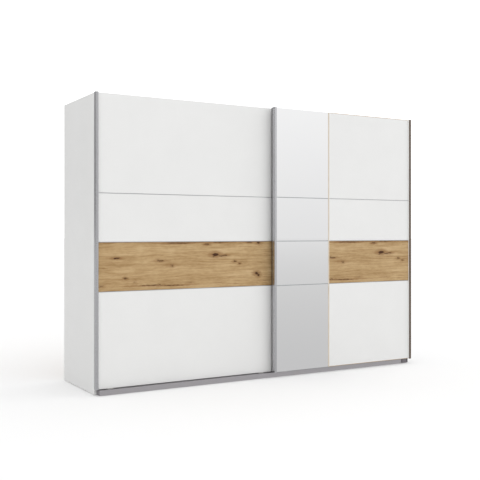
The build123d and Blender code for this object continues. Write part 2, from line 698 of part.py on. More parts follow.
# ---- Left door -----------------------------------------------------------------------
def build_left_door():
    middle = LEFT + LEFT_DOOR_WIDTH / 2
    places = (LEFT + STRAP_INSET, middle, LEFT_DOOR_RIGHT - STRAP_INSET)
    straps = [(x, NARROW_STRAP) for x in places]
    guides = (LEFT + GUIDE_INSET, LEFT_DOOR_RIGHT - GUIDE_INSET)
    seats = door_screw_seats(LEFT_DOOR_HANGERS, straps, guides)
    for level, name in enumerate(FIELD_NAMES):
        board = field(LEFT + EDGE_PLAY, LEFT_DOOR_RIGHT - EDGE_PLAY, level, seats, 0)
        save(f"left_door_panel_{name}", board)
    inside = (LEFT + GRIP_WIDTH + 0.2, LEFT_DOOR_RIGHT - GRIP_WIDTH - 0.2)
    save("left_door_divider_strips", group(divider_strips(*inside, 0, door_back(0) - 1)))
    grips = (grip_profile(LEFT, 1, 0), grip_profile(LEFT_DOOR_RIGHT, -1, 0))
    save("left_door_grip_profiles", group(grips))
    save("left_door_back_straps", back_straps(straps, 0))
    save("left_door_hangers", left_door_hangers())
    first = TRACKS[0] - WHEEL_WIDTH / 2
    pins = axle_pins(LEFT_DOOR_HANGERS, 0.1 - DOOR_GAP, first + 12, (STEEL - DOOR_GAP, first - 0.2),
                     (first + WHEEL_WIDTH + 0.3, first + 12))
    save("left_door_wheel_axles", pins)
    save("left_door_screws", door_screws(seats, 0))
    save("left_door_guides", door_guides(guides, 0, 0))
    for name, x in zip(("left", "right"), LEFT_DOOR_HANGERS):
        save(f"left_door_wheel_{name}", wheel(x, TRACKS[0]))


# ---- Right door ----------------------------------------------------------------------
def build_right_door():
    plane = DOOR_PITCH
    edge = RIGHT_DOOR_LEFT
    straps = [
        (edge + STRAP_INSET, NARROW_STRAP),
        (COVER_STRIP_X, WIDE_STRAP),
        (RIGHT - STRAP_INSET, NARROW_STRAP),
    ]
    guides = (edge + GUIDE_INSET, RIGHT - GUIDE_INSET)
    seats = door_screw_seats(RIGHT_DOOR_HANGERS, straps, guides)
    half_web = 1.5
    glass_back = door_face(plane) + MIRROR_GLASS
    column = (edge + EDGE_PLAY, COVER_STRIP_X - half_web - 1)
    backing = block(column[0], column[1], glass_back, door_back(plane), DOOR_BOTTOM, SIDE_TOP)
    save("right_door_mirror_board", bored(backing, seats, plane))
    tiles = []
    for level in range(4):
        low, high = field_edges(level)
        tile = block(column[0], column[1], door_face(plane), glass_back, low, high)
        tiles.append(softened(tile, 0.4))
        name = FIELD_NAMES[level]
        board = field(COVER_STRIP_X + half_web + 1, RIGHT - EDGE_PLAY, level, seats, plane)
        save(f"right_door_panel_{name}", board)
    save("right_door_mirror_bottom", tiles[0])
    save("right_door_mirror_middle", group(tiles[1:3]))
    save("right_door_mirror_top", tiles[3])
    cover = (COVER_STRIP_X - COVER_STRIP_WIDTH / 2, COVER_STRIP_X + COVER_STRIP_WIDTH / 2)
    strips = divider_strips(edge + GRIP_WIDTH + 0.2, cover[0] - 0.2, plane, glass_back)
    strips += divider_strips(cover[1] + 0.2, RIGHT - GRIP_WIDTH - 0.2, plane, door_back(plane) - 1)
    save("right_door_divider_strips", group(strips))
    face = door_face(plane)
    cap = block(cover[0], cover[1], face - 1.5, face, DOOR_BOTTOM, SIDE_TOP)
    web = block(COVER_STRIP_X - half_web, COVER_STRIP_X + half_web, face, door_back(plane),
                DOOR_BOTTOM, SIDE_TOP)
    save("right_door_cover_strip", cap + web)
    trims = []
    for low, high in ((DOOR_BOTTOM, DOOR_BOTTOM + 3), (SIDE_TOP - 3, SIDE_TOP)):
        trims.append(block(cover[1] + 0.2, RIGHT - GRIP_WIDTH - 0.2, face - DIVIDER_PROUD, face, low, high))
    save("right_door_edge_trims", group(trims))
    save("right_door_grip_profile", grip_profile(edge, 1, plane))
    save("right_door_dust_seal", dust_seal(edge))
    save("right_door_end_profile", grip_profile(RIGHT, -1, plane))
    save("right_door_back_straps", back_straps(straps, plane))
    save("right_door_hangers", right_door_hangers())
    first = TRACKS[1] - WHEEL_WIDTH / 2
    pins = axle_pins(RIGHT_DOOR_HANGERS, first - 2, REAR_LEG, (first + WHEEL_WIDTH + 0.2, REAR_LEG - STEEL),
                     (first - 2, first - 0.3))
    save("right_door_wheel_axles", pins)
    save("right_door_screws", door_screws(seats, plane))
    save("right_door_guides", door_guides(guides, plane, 1))
    for name, x in zip(("left", "right"), RIGHT_DOOR_HANGERS):
        save(f"right_door_wheel_{name}", wheel(x, TRACKS[1]))


# ---- Carcass -------------------------------------------------------------------------
def build_carcass():
    save("side_panel_left", side_panel(LEFT, INNER_LEFT))
    save("side_panel_right", side_panel(RIGHT, INNER_RIGHT))
    save("centre_partition", centre_partition())
    for name, bay in zip(("left", "right"), BAYS):
        save(f"top_panel_{name}", top_panel(bay))
        save(f"bottom_panel_{name}", deck(bay, FLOOR_BOTTOM, False))
        save(f"shelf_{name}", shelf(bay))
        save(f"hanging_rail_{name}", hanging_rail(bay))
    save("plinth_boards", plinth_boards())
    save("floor_glides", floor_glides())
    save("back_sheets", back_sheets())
    save("back_joiners", back_joiners())
    save("shelf_pins", shelf_pins())
    save("rail_flanges", rail_flanges())
    save("cam_locks", cam_locks())
    save("cam_bolts", cam_bolts())
    save("top_track", top_track())
    save("track_end_stops", track_end_stops())
    save("bottom_rail", bottom_rail())
    save("bottom_rail_cap_left", bottom_rail_cap_left())
    save("bottom_rail_cap_right", bottom_rail_cap_right())
    save("carcass_screws", carcass_screws())
    save("wall_brackets", wall_brackets())


os.makedirs("parts", exist_ok=True)
build_carcass()
build_left_door()
build_right_door()
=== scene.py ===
from math import cos, pi, radians, sin

import bmesh
import bpy
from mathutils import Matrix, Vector


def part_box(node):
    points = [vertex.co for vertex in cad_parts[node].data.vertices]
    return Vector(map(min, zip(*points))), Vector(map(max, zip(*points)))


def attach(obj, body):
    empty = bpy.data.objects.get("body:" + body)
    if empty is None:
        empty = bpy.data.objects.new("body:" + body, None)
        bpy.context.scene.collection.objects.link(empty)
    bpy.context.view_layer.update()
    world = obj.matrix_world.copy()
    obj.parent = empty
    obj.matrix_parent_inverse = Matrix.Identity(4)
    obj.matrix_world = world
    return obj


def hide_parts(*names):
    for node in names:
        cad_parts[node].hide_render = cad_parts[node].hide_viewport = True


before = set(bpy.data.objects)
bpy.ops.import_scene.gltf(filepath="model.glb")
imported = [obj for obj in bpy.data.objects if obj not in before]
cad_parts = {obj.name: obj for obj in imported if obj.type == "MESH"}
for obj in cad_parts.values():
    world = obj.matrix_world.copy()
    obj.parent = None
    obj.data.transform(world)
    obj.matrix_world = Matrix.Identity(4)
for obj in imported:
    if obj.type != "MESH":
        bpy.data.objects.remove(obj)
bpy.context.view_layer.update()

# ---- Viewpoint ------------------------------------------------------------------------------
# A person's view from the left, five metres off and a little over the wardrobe's middle height.
# The camera is level, so that uprights stay upright, and shifted slightly down.
lens = bpy.data.cameras.new("viewpoint")
lens.sensor_width = 36.0
lens.lens = 59.625
lens.shift_y = -0.015
camera = bpy.data.objects.new("viewpoint", lens)
camera.location = (-3.180, -5.276, 1.073)
camera.rotation_euler = (radians(90), 0, radians(-30.48))
bpy.context.scene.collection.objects.link(camera)
bpy.context.scene.camera = camera
bpy.context.scene.view_settings.view_transform = "Standard"
bpy.context.scene.view_settings.look = "None"


# ---- Studio ---------------------------------------------------------------------------------
# Soft light from all round: strongest overhead, a little stronger in front of the doors than behind.
# Metal and glass mirror a brighter screen at the right. The pale floor keeps a faint shadow.
def add_node(tree, kind, inputs=None, **properties):
    """A shader node with its properties, and its sockets set to a value or linked to a socket."""
    node = tree.nodes.new("ShaderNode" + kind)
    for name, value in properties.items():
        setattr(node, name, value)
    for socket, source in (inputs or {}).items():
        if isinstance(source, bpy.types.NodeSocket):
            tree.links.new(source, node.inputs[socket])
        else:
            node.inputs[socket].default_value = source
    return node


def maths(tree, operation, first, second):
    """A value worked out from two others."""
    return add_node(tree, "Math", {0: first, 1: second}, operation=operation).outputs[0]


def fade(tree, value, start, end, low, high, kind="LINEAR"):
    """Turns the value's span from start to end into low to high, level outside it."""
    spans = {"Value": value, "From Min": start, "From Max": end, "To Min": low, "To Max": high}
    return add_node(tree, "MapRange", spans, interpolation_type=kind).outputs[0]


def either(tree, choice, first, second):
    """One shader where the choice is 0 and the other where it is 1."""
    return add_node(tree, "MixShader", {0: choice, 1: first, 2: second}).outputs[0]


FRONT_LIGHT = 0.865
REAR_LIGHT = 0.53
OVERHEAD_LIGHT = 0.55
SIDE_LIGHT = 0.75
SCREEN_DARK = 0.33
SCREEN_BRIGHT = 0.88
SCREEN_TOP = 0.89  # how much brighter the screen is straight overhead
PAPER_WHITE = 1.4
FRONT_TO_REAR = (-0.75, 0.85)  # the part of a direction's Y where the one light turns into the other
SIDE_EDGE = (0.45, 0.9)  # the parts of its X where the side light and the screen's bright half begin
SCREEN_EDGE = (0.15, 0.54)

studio = bpy.data.worlds.new("studio")
bpy.context.scene.world = studio
studio.use_nodes = True
sky = studio.node_tree
sky.nodes.clear()
place = add_node(sky, "TexCoord").outputs["Generated"]
toward = add_node(sky, "SeparateXYZ", {0: place}).outputs
ways = add_node(sky, "LightPath").outputs
height = maths(sky, "MAXIMUM", toward["Z"], 0.0)
level_light = fade(sky, toward["Y"], *FRONT_TO_REAR, FRONT_LIGHT, REAR_LIGHT, "SMOOTHSTEP")
side_light = fade(sky, toward["X"], *SIDE_EDGE, 0.0, SIDE_LIGHT, "SMOOTHSTEP")
screen_light = fade(sky, toward["X"], *SCREEN_EDGE, SCREEN_DARK, SCREEN_BRIGHT, "SMOOTHSTEP")
light = maths(sky, "ADD", level_light, maths(sky, "MULTIPLY", height, OVERHEAD_LIGHT))
light = maths(sky, "ADD", light, side_light)
screen = maths(sky, "ADD", screen_light, maths(sky, "MULTIPLY", height, SCREEN_TOP))
soft_light = add_node(sky, "Background", {"Color": light}).outputs[0]
mirrored = add_node(sky, "Background", {"Color": screen}).outputs[0]
white = {"Color": (1, 1, 1, 1), "Strength": PAPER_WHITE}
paper = add_node(sky, "Background", white).outputs[0]
lighting = either(sky, ways["Is Glossy Ray"], soft_light, mirrored)
shown = either(sky, ways["Is Camera Ray"], lighting, paper)
add_node(sky, "OutputWorld", {"Surface": shown})

FLOOR_RADIUS = 150.0
FLOOR_UNDER = 0.0003  # the floor lies this far under the glides' soles
FLOOR_ALBEDO = 0.74  # how pale the floor is to the light, and how pale it looks
FLOOR_SEEN = 0.79
FLOOR_LIFT = 0.12  # keeps the deepest shadow grey
FLOOR_NEAR = 0.62  # what the mirror shows of the floor close by, and far off
FLOOR_FAR = 0.88
FLOOR_HALFWAY = 18.0  # the distance at which it shows their mean

form = bmesh.new()
bmesh.ops.create_circle(form, cap_ends=True, segments=96, radius=FLOOR_RADIUS)
bmesh.ops.translate(form, vec=(0, 0, -FLOOR_UNDER), verts=form.verts)
floor_mesh = bpy.data.meshes.new("floor")
form.to_mesh(floor_mesh)
form.free()
floor = bpy.data.objects.new("floor", floor_mesh)
bpy.context.scene.collection.objects.link(floor)
floor_finish = bpy.data.materials.new("pale_floor")
floor_finish.use_nodes = True
tree = floor_finish.node_tree
tree.nodes.clear()
ways = add_node(tree, "LightPath").outputs
place = add_node(tree, "TexCoord").outputs["Object"]
away = add_node(tree, "VectorMath", {0: place}, operation="LENGTH").outputs["Value"]
share = maths(tree, "DIVIDE", away, maths(tree, "ADD", away, FLOOR_HALFWAY))
glow = maths(tree, "ADD", FLOOR_NEAR, maths(tree, "MULTIPLY", share, FLOOR_FAR - FLOOR_NEAR))
mirrored = add_node(tree, "Emission", {"Color": glow}).outputs[0]
plain = add_node(tree, "BsdfDiffuse", {"Color": (FLOOR_ALBEDO,) * 3 + (1,)}).outputs[0]
seen = add_node(tree, "BsdfDiffuse", {"Color": (FLOOR_SEEN,) * 3 + (1,)}).outputs[0]
lift = add_node(tree, "Emission", {"Strength": FLOOR_LIFT}).outputs[0]
bright = add_node(tree, "AddShader", {0: seen, 1: lift}).outputs[0]
lit = either(tree, ways["Is Camera Ray"], plain, bright)
whole = either(tree, ways["Is Glossy Ray"], lit, mirrored)
add_node(tree, "OutputMaterial", {"Surface": whole})
floor.data.materials.append(floor_finish)


# ---- Carcass boards -------------------------------------------------------------------------
# Sides, partition, tops, bottoms and plinths are sawn from chipboard with a white melamine face.
# A thin white edging is glued on their front edges, and cam locks draw them square.
def shade(red, green, blue):
    """A colour as a screen shows it, 0 to 255, turned into the light that a shader works with."""
    return tuple(((c / 255 + 0.055) / 1.055) ** 2.4 for c in (red, green, blue)) + (1.0,)


def new_group(name, inputs, outputs):
    """An empty node group. Its inputs have the values that they start with, its outputs their kinds."""
    group = bpy.data.node_groups.new(name, "ShaderNodeTree")
    for socket, value in inputs.items():
        kind = "NodeSocketVector" if isinstance(value, tuple) else "NodeSocketFloat"
        group.interface.new_socket(name=socket, in_out="INPUT", socket_type=kind)
        group.interface.items_tree[-1].default_value = value
    for socket, kind in outputs.items():
        group.interface.new_socket(name=socket, in_out="OUTPUT", socket_type="NodeSocket" + kind)
    return group, group.nodes.new("NodeGroupInput").outputs, group.nodes.new("NodeGroupOutput").inputs


def blend_colours(tree, factor, first, second):
    return add_node(tree, "Mix", {0: factor, 6: first, 7: second}, data_type="RGBA").outputs[2]


def vector_maths(tree, operation, vector, other):
    """A vector worked out from two others."""
    return add_node(tree, "VectorMath", {0: vector, 1: other}, operation=operation).outputs[0]


uneven, ins, outs = new_group(
    "uneven",
    {"Vector": (0, 0, 0), "Stretch": (1, 1, 1), "Density": 10.0, "Lowest": 0.0, "Highest": 1.0},
    {"Value": "Float"},
)
scaled = vector_maths(uneven, "MULTIPLY", ins["Vector"], ins["Stretch"])
cloud = add_node(uneven, "TexNoise", {"Vector": scaled, "Scale": ins["Density"], "Detail": 4.0})
spread = fade(uneven, cloud.outputs[0], 0.3, 0.7, ins["Lowest"], ins["Highest"])
uneven.links.new(spread, outs["Value"])


def unevenness(tree, density, lowest, highest, stretch=(1, 1, 1)):
    """A soft irregular value over the piece, so many clouds a metre, between two limits."""
    where = add_node(tree, "TexCoord").outputs["Object"]
    values = {"Vector": where, "Stretch": stretch, "Density": density, "Lowest": lowest, "Highest": highest}
    return add_node(tree, "Group", values, node_tree=uneven).outputs["Value"]


def new_finish(name, **plain_values):
    """A material with one Principled shader. Values that are the same all over go on its sockets."""
    finish = bpy.data.materials.new(name)
    finish.use_nodes = True
    shader = finish.node_tree.nodes["Principled BSDF"]
    for socket, value in plain_values.items():
        shader.inputs[socket.replace("_", " ")].default_value = value
    return finish, finish.node_tree, shader


def coat(tree, shader, colour, gloss, height=None, depth=0.0):
    """Gives a shader its colour and roughness, and a relief so many metres deep."""
    tree.links.new(colour, shader.inputs["Base Color"])
    tree.links.new(gloss, shader.inputs["Roughness"])
    if height:
        bump = add_node(tree, "Bump", {"Height": height, "Distance": depth, "Strength": 1.0})
        tree.links.new(bump.outputs[0], shader.inputs["Normal"])


def backward(tree):
    """How far the surface faces the back: from 1, through 0 at the sides, to -1 at the front."""
    facing = add_node(tree, "TexCoord").outputs["Normal"]
    return add_node(tree, "SeparateXYZ", {0: facing}).outputs["Y"]


def moulded_finish(name, light_tone, dark_tone, rough, grain, depth, edge_tone=None):
    """An even surface: two close tones in soft clouds, a fine grain in relief, and uneven gloss."""
    finish, tree, shader = new_finish(name, IOR=1.5)
    colour = blend_colours(tree, unevenness(tree, 5.0, 0.0, 1.0), light_tone, dark_tone)
    if edge_tone:
        edging = maths(tree, "LESS_THAN", backward(tree), -0.9)
        colour = blend_colours(tree, edging, colour, edge_tone)
    gloss = unevenness(tree, 60.0, rough - 0.05, rough + 0.05)
    coat(tree, shader, colour, gloss, unevenness(tree, grain, 0.0, 1.0), depth)
    return finish


WHITE = shade(235, 235, 234)
WHITE_IN_THE_CLOUDS = shade(233, 233, 232)
EDGING_WHITE = shade(238, 238, 237)
carcass_white = moulded_finish(
    "carcass_melamine", WHITE, WHITE_IN_THE_CLOUDS, 0.42, 900, 0.00002, edge_tone=EDGING_WHITE
)


def dress(finish, *nodes, rounding=0.0):
    """Gives CAD nodes their finish, and breaks their sharp edges where a rounding is given."""
    for name in nodes:
        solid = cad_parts[name]
        for held in solid.material_slots:
            held.material = finish
        if rounding:
            solid.modifiers.new("joined", "WELD").merge_threshold = 1e-6
            soft = solid.modifiers.new("soft_edges", "BEVEL")
            soft.width = rounding
            soft.segments = 2
            soft.limit_method = "ANGLE"
            soft.angle_limit = radians(50)


dress(carcass_white, "side_panel_left", "side_panel_right", "centre_partition")
dress(carcass_white, "top_panel_left", "top_panel_right", "bottom_panel_left", "bottom_panel_right")
dress(carcass_white, "plinth_boards", "shelf_left", "shelf_right", "right_door_mirror_board")

# ---- Back -----------------------------------------------------------------------------------
# Four thin fibreboard sheets, painted white towards the inside and left brown behind, slide into
# grooves in the sides. White plastic strips join them.
fibreboard, tree, shader = new_finish("fibreboard", IOR=1.45)
behind = maths(tree, "GREATER_THAN", backward(tree), 0.5)
felted = unevenness(tree, 260.0, 0.0, 1.0, (1, 1, 3))
raw = blend_colours(tree, felted, shade(176, 146, 108), shade(142, 112, 78))
raw = blend_colours(tree, unevenness(tree, 4.0, 0.0, 0.35), raw, shade(128, 100, 70))
colour = blend_colours(tree, behind, WHITE_IN_THE_CLOUDS, raw)
gloss = maths(tree, "ADD", maths(tree, "MULTIPLY", behind, 0.25), 0.5)
coat(tree, shader, colour, gloss, felted, 0.00008)
dress(fibreboard, "back_sheets")
white_plastic = moulded_finish(
    "white_plastic", shade(236, 236, 234), shade(232, 232, 229), 0.36, 400, 0.00003
)
dress(white_plastic, "back_joiners", rounding=0.0003)


# ---- Fittings that hold the boards ----------------------------------------------------------
# Cast zinc cam locks and their steel bolts, hidden in the boards, and nickel plated pins that
# carry the shelves.
def metal_finish(name, light_tone, dark_tone, rough, stretch, density, depth):
    """A metal with drawing or rolling lines along one direction, in its tone, gloss and relief."""
    finish, tree, shader = new_finish(name, Metallic=1.0)
    lines = unevenness(tree, density, 0.0, 1.0, stretch)
    clouds = unevenness(tree, 6.0, 0.0, 0.5)
    colour = blend_colours(tree, lines, light_tone, dark_tone)
    colour = blend_colours(tree, clouds, colour, dark_tone)
    gloss = unevenness(tree, density * 0.6, rough - 0.05, rough + 0.06, stretch)
    coat(tree, shader, colour, gloss, lines, depth)
    return finish


zinc = metal_finish("zinc_plate", shade(206, 206, 202), shade(178, 179, 178), 0.34, (1, 1, 1), 220, 0.00003)
dress(zinc, "cam_locks", "cam_bolts", rounding=0.0002)


def solids(node):
    """The lowest and highest corners of each separate solid in a CAD node, from left to right."""
    copy = bmesh.new()
    copy.from_mesh(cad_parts[node].data)
    bmesh.ops.remove_doubles(copy, verts=copy.verts, dist=1e-6)
    waiting = set(copy.verts)
    found = []
    while waiting:
        reached = [waiting.pop()]
        for vert in reached:
            for edge in vert.link_edges:
                other = edge.other_vert(vert)
                if other in waiting:
                    waiting.remove(other)
                    reached.append(other)
        low = Vector([min(v.co[k] for v in reached) for k in range(3)])
        high = Vector([max(v.co[k] for v in reached) for k in range(3)])
        found.append((low, high))
    copy.free()
    return sorted(found, key=lambda box: (round(box[0].x, 5), round(box[0].z, 5), box[0].y))


AXES = {"X": Vector((1, 0, 0)), "Y": Vector((0, 1, 0)), "Z": Vector((0, 0, 1))}


def turned(form, axis, centre, section, steps, closed=False):
    """A turned piece: its half section, as (radius, place along the axis), is spun round the centre."""
    along = AXES[axis]
    out = AXES["Z" if axis == "X" else "X"]
    known = set(form.verts)
    corners = [form.verts.new(centre + out * radius + along * place) for radius, place in section]
    pairs = list(zip(corners, corners[1:])) + ([(corners[-1], corners[0])] if closed else [])
    edges = [form.edges.new(pair) for pair in pairs]
    bmesh.ops.spin(
        form, geom=corners + edges, cent=centre, axis=along, angle=2 * pi, steps=steps, use_merge=True
    )
    made = [v for v in form.verts if v not in known]
    bmesh.ops.remove_doubles(form, verts=made, dist=1e-7)
    return [v for v in form.verts if v not in known]


def set_piece(form, name, body, finishes, nodes, sharp=32.0):
    """Makes a finished form a piece: closed, facing outwards, riding on its body."""
    bmesh.ops.recalc_face_normals(form, faces=form.faces)
    mesh = bpy.data.meshes.new(name)
    form.to_mesh(mesh)
    form.free()
    for finish in finishes:
        mesh.materials.append(finish)
    mesh.shade_smooth()
    mesh.set_sharp_from_angle(angle=radians(sharp))
    piece = bpy.data.objects.new(name, mesh)
    bpy.context.scene.collection.objects.link(piece)
    piece.modifiers.new("even_shading", "WEIGHTED_NORMAL").keep_sharp = True
    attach(piece, body)
    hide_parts(*nodes)


PEG_CHAMFER = 0.0006
form = bmesh.new()
for low, high in solids("shelf_pins"):
    middle = (low + high) / 2
    radius = (high.z - low.z) / 2
    neck = radius - PEG_CHAMFER
    half = (high.x - low.x) / 2
    section = [(0, -half), (neck, -half), (radius, PEG_CHAMFER - half), (radius, half - PEG_CHAMFER)]
    section += [(neck, half), (0, half)]
    turned(form, "X", middle, section, steps=16)
set_piece(form, "shelf_pegs", "carcass", [zinc], ["shelf_pins"])


# ---- Hanging rails --------------------------------------------------------------------------
# An oval chrome plated tube spans each bay. Its ends sit in white plastic cups, each on a plate
# that two screws hold to the board.
def profile(form, axis, start, end, *outlines):
    """A straight profile pushed along one axis: an outline, then hollows. A corner is (a, b), or
    (a, b, radius) where it is rounded. The two values are the axes that follow in the order X, Y, Z.
    """
    spots = {"X": lambda a, b, s: (s, a, b), "Y": lambda a, b, s: (a, s, b), "Z": lambda a, b, s: (a, b, s)}
    spot = spots[axis]
    known = set(form.edges)
    rounded = {}
    loops = []
    for corners in outlines:
        verts = [form.verts.new(spot(c[0], c[1], start)) for c in corners]
        loops += [form.edges.new((verts[i - 1], verts[i])) for i in range(len(verts))]
        for vert, corner in zip(verts, corners):
            if len(corner) == 3:
                rounded.setdefault(corner[2], []).append(vert)
    walls = bmesh.ops.extrude_edge_only(form, edges=loops)["geom"]
    pushed = [v for v in walls if isinstance(v, bmesh.types.BMVert)]
    bmesh.ops.translate(form, vec=spot(0, 0, end - start), verts=pushed)
    lines = {
        radius: [next(e for e in vert.link_edges if e.other_vert(vert) in pushed) for vert in verts]
        for radius, verts in rounded.items()
    }
    for radius, edges in lines.items():
        bmesh.ops.bevel(
            form, geom=edges, offset=radius, affect="EDGES", segments=4, profile=0.5, material=-1
        )
    rims = [e for e in form.edges if e not in known and len(e.link_faces) == 1]
    along = "XYZ".index(axis)
    for end_place in (start, end):
        rim = [e for e in rims if all(abs(v.co[along] - end_place) < 1e-7 for v in e.verts)]
        bmesh.ops.triangle_fill(form, use_beauty=True, use_dissolve=False, edges=rim)


def rectangle(low, high, low_round, high_round):
    """An outline between two corners, with its lower and its upper turns rounded."""
    turns = [(low[0], low[1], low_round), (high[0], low[1], low_round)]
    return turns + [(high[0], high[1], high_round), (low[0], high[1], high_round)]


def oval(middle, wide, tall):
    """A rectangle with its corners fully rounded into a flat sided oval."""
    low = (middle.y - wide / 2, middle.z - tall / 2)
    high = (middle.y + wide / 2, middle.z + tall / 2)
    return rectangle(low, high, wide * 0.499, wide * 0.499)


chrome = metal_finish(
    "chrome_plate", shade(232, 233, 235), shade(222, 223, 226), 0.1, (0.02, 1, 1), 300, 0.00001
)
TUBE_WALL = 0.0012
CUP_WALL = 0.0022
CUP_PLAY = 0.0004
FLANGE_PLATE = 0.003
FLANGE_CORNER = 0.006
FLANGE_SCREWS = (-0.026, 0.026)  # under and over the cup's middle
SCREW_DOME = ((0.0034, 0), (0.003, 0.0009), (0.0018, 0.0014), (0, 0.0014))
for side in ("left", "right"):
    low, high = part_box("hanging_rail_" + side)
    middle = (low + high) / 2
    wide, tall = high.y - low.y, high.z - low.z
    form = bmesh.new()
    inside = oval(middle, wide - 2 * TUBE_WALL, tall - 2 * TUBE_WALL)
    profile(form, "X", low.x, high.x, oval(middle, wide, tall), inside)
    set_piece(form, f"{side}_clothes_rail", "carcass", [chrome], ["hanging_rail_" + side])

form = bmesh.new()
for count, (low, high) in enumerate(solids("rail_flanges")):
    middle = (low + high) / 2
    inward = -1 if count % 2 else 1  # by turns on the board at the rail's left and at its right end
    wall, mouth = (low.x, high.x)[::inward]
    plate_end = wall + inward * FLANGE_PLATE
    plate = rectangle((low.y, low.z), (high.y, high.z), FLANGE_CORNER, FLANGE_CORNER)
    profile(form, "X", wall, plate_end, plate)
    cup = oval(middle, wide + 2 * CUP_WALL, tall + 2 * CUP_WALL)
    profile(form, "X", plate_end, mouth, cup, oval(middle, wide + CUP_PLAY, tall + CUP_PLAY))
    for up in FLANGE_SCREWS:
        spot = Vector((plate_end, middle.y, middle.z + up))
        turned(form, "X", spot, [(radius, inward * rise) for radius, rise in SCREW_DOME], steps=16)
set_piece(form, "clothes_rail_cups", "carcass", [white_plastic], ["rail_flanges"])


# ---- Running track --------------------------------------------------------------------------
# One aluminium extrusion on the top panels carries both doors: a base with two ribs for the
# grooved wheels and a lip over the board's edge. Rubber buffers stop the doors at its ends.
def drawn_metal(name, light_tone, dark_tone, rough, axis):
    """Anodised aluminium with the long, very fine lines that the drawing die leaves."""
    stretch = tuple(0.01 if letter == axis else 1.0 for letter in "XYZ")
    return metal_finish(name, light_tone, dark_tone, rough, stretch, 900, 0.00001)


track_metal = drawn_metal("track_aluminium", shade(196, 196, 198), shade(180, 180, 183), 0.36, "X")
low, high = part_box("top_track")
LIP_THICK = 0.0015
RIB_LINES = (0.031, 0.009)  # behind the board's front edge
RIB_HALF = 0.0015
RIB_ROUND = 0.0012
BASE_THICK = 0.003
LIP_ROUND = 0.0004
FRONT_ROUND = 0.0008  # the base's front and rear edges
REAR_ROUND = 0.0006
board_edge = low.y + LIP_THICK
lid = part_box("top_panel_left")[1].z
base = lid + BASE_THICK
form = bmesh.new()
outline = [(low.y, low.z, LIP_ROUND), (board_edge, low.z), (board_edge, lid), (high.y, lid)]
outline += [(high.y, base, REAR_ROUND)]
for line in RIB_LINES:
    rear, front = board_edge + line + RIB_HALF, board_edge + line - RIB_HALF
    outline += [(rear, base), (rear, high.z, RIB_ROUND), (front, high.z, RIB_ROUND), (front, base)]
outline += [(low.y, base, FRONT_ROUND)]
profile(form, "X", low.x, high.x, outline)
set_piece(form, "running_track", "carcass", [track_metal], ["top_track"])

dark_plastic = moulded_finish("dark_grey_plastic", shade(72, 71, 73), shade(58, 57, 59), 0.5, 500, 0.00006)
dress(dark_plastic, "track_end_stops", rounding=0.0008)

# ---- Wall brackets --------------------------------------------------------------------------
# Two zinc plated steel angles on the top panels, each with a hole for a screw into the wall.
dress(zinc, "wall_brackets", rounding=0.0003)


# ---- Screws ---------------------------------------------------------------------------------
# Zinc plated chipboard screws with a pan head and a cross recess hold the rails to the carcass,
# and the hangers, straps and guides to the doors.
SHANK_RADIUS = 0.0017
HEAD_HEIGHT = 0.0014
POINT = 0.004  # from the tip to the full shank
POINT_BLUNT = 0.001
CROSS_ARM = 0.46  # the cross's sizes are shares of the head's radius and height
CROSS_HALF = 0.13
CROSS_DEEP = 0.6


def pan_screw(form, axis, tip, head, centre, head_radius):
    """A screw from its tip to the top of its head, with a cross sunk in the crown."""
    along = AXES[axis]
    way = 1 if head > tip else -1
    spot = centre - along * centre.dot(along)
    seat = head - way * HEAD_HEIGHT
    section = [(0, tip), (SHANK_RADIUS * 0.4, tip + way * POINT_BLUNT), (SHANK_RADIUS, tip + way * POINT)]
    section += [(SHANK_RADIUS, seat), (head_radius, seat), (head_radius, seat + way * HEAD_HEIGHT * 0.35)]
    section += [(head_radius * 0.9, seat + way * HEAD_HEIGHT * 0.75), (head_radius * 0.62, head)]
    known = set(form.edges)
    turned(form, axis, spot, section, steps=12)
    rim = [e for e in form.edges if e not in known and len(e.link_faces) == 1]
    arm, half = head_radius * CROSS_ARM, head_radius * CROSS_HALF
    points = [(arm, -half), (arm, half), (half, half), (half, arm), (-half, arm), (-half, half)]
    points += [(-a, -b) for a, b in points]
    first = AXES["Z" if axis == "X" else "X"]
    second = along.cross(first)
    cross = [form.verts.new(spot + along * head + first * a + second * b) for a, b in points]
    arms = [form.edges.new((cross[i - 1], cross[i])) for i in range(len(cross))]
    bmesh.ops.triangle_fill(form, use_beauty=True, use_dissolve=False, edges=rim + arms)
    inner = [f for f in form.faces if all(v in cross for v in f.verts)]
    bmesh.ops.delete(form, geom=inner, context="FACES_ONLY")
    sunk = bmesh.ops.extrude_edge_only(form, edges=arms)["geom"]
    deep = [v for v in sunk if isinstance(v, bmesh.types.BMVert)]
    bmesh.ops.translate(form, vec=along * -way * HEAD_HEIGHT * CROSS_DEEP, verts=deep)
    low_rim = [e for e in sunk if isinstance(e, bmesh.types.BMEdge) and all(v in deep for v in e.verts)]
    bmesh.ops.triangle_fill(form, use_beauty=True, use_dissolve=False, edges=low_rim)


bright_screw = metal_finish(
    "screw_zinc", shade(214, 213, 208), shade(184, 184, 182), 0.28, (1, 1, 1), 500, 0.00002
)
for node, name, body in (
    ("carcass_screws", "rail_and_track_screws", "carcass"),
    ("left_door_screws", "left_door_fixing_screws", "left_door"),
    ("right_door_screws", "right_door_fixing_screws", "right_door"),
):
    form = bmesh.new()
    for low, high in solids(node):
        if high.z - low.z > high.y - low.y:
            axis, tip, head = "Z", low.z, high.z
        else:
            axis, tip, head = ("Y", high.y, low.y) if body == "carcass" else ("Y", low.y, high.y)
        pan_screw(form, axis, tip, head, (low + high) / 2, (high.x - low.x) / 2)
    set_piece(form, name, body, [bright_screw], [node])

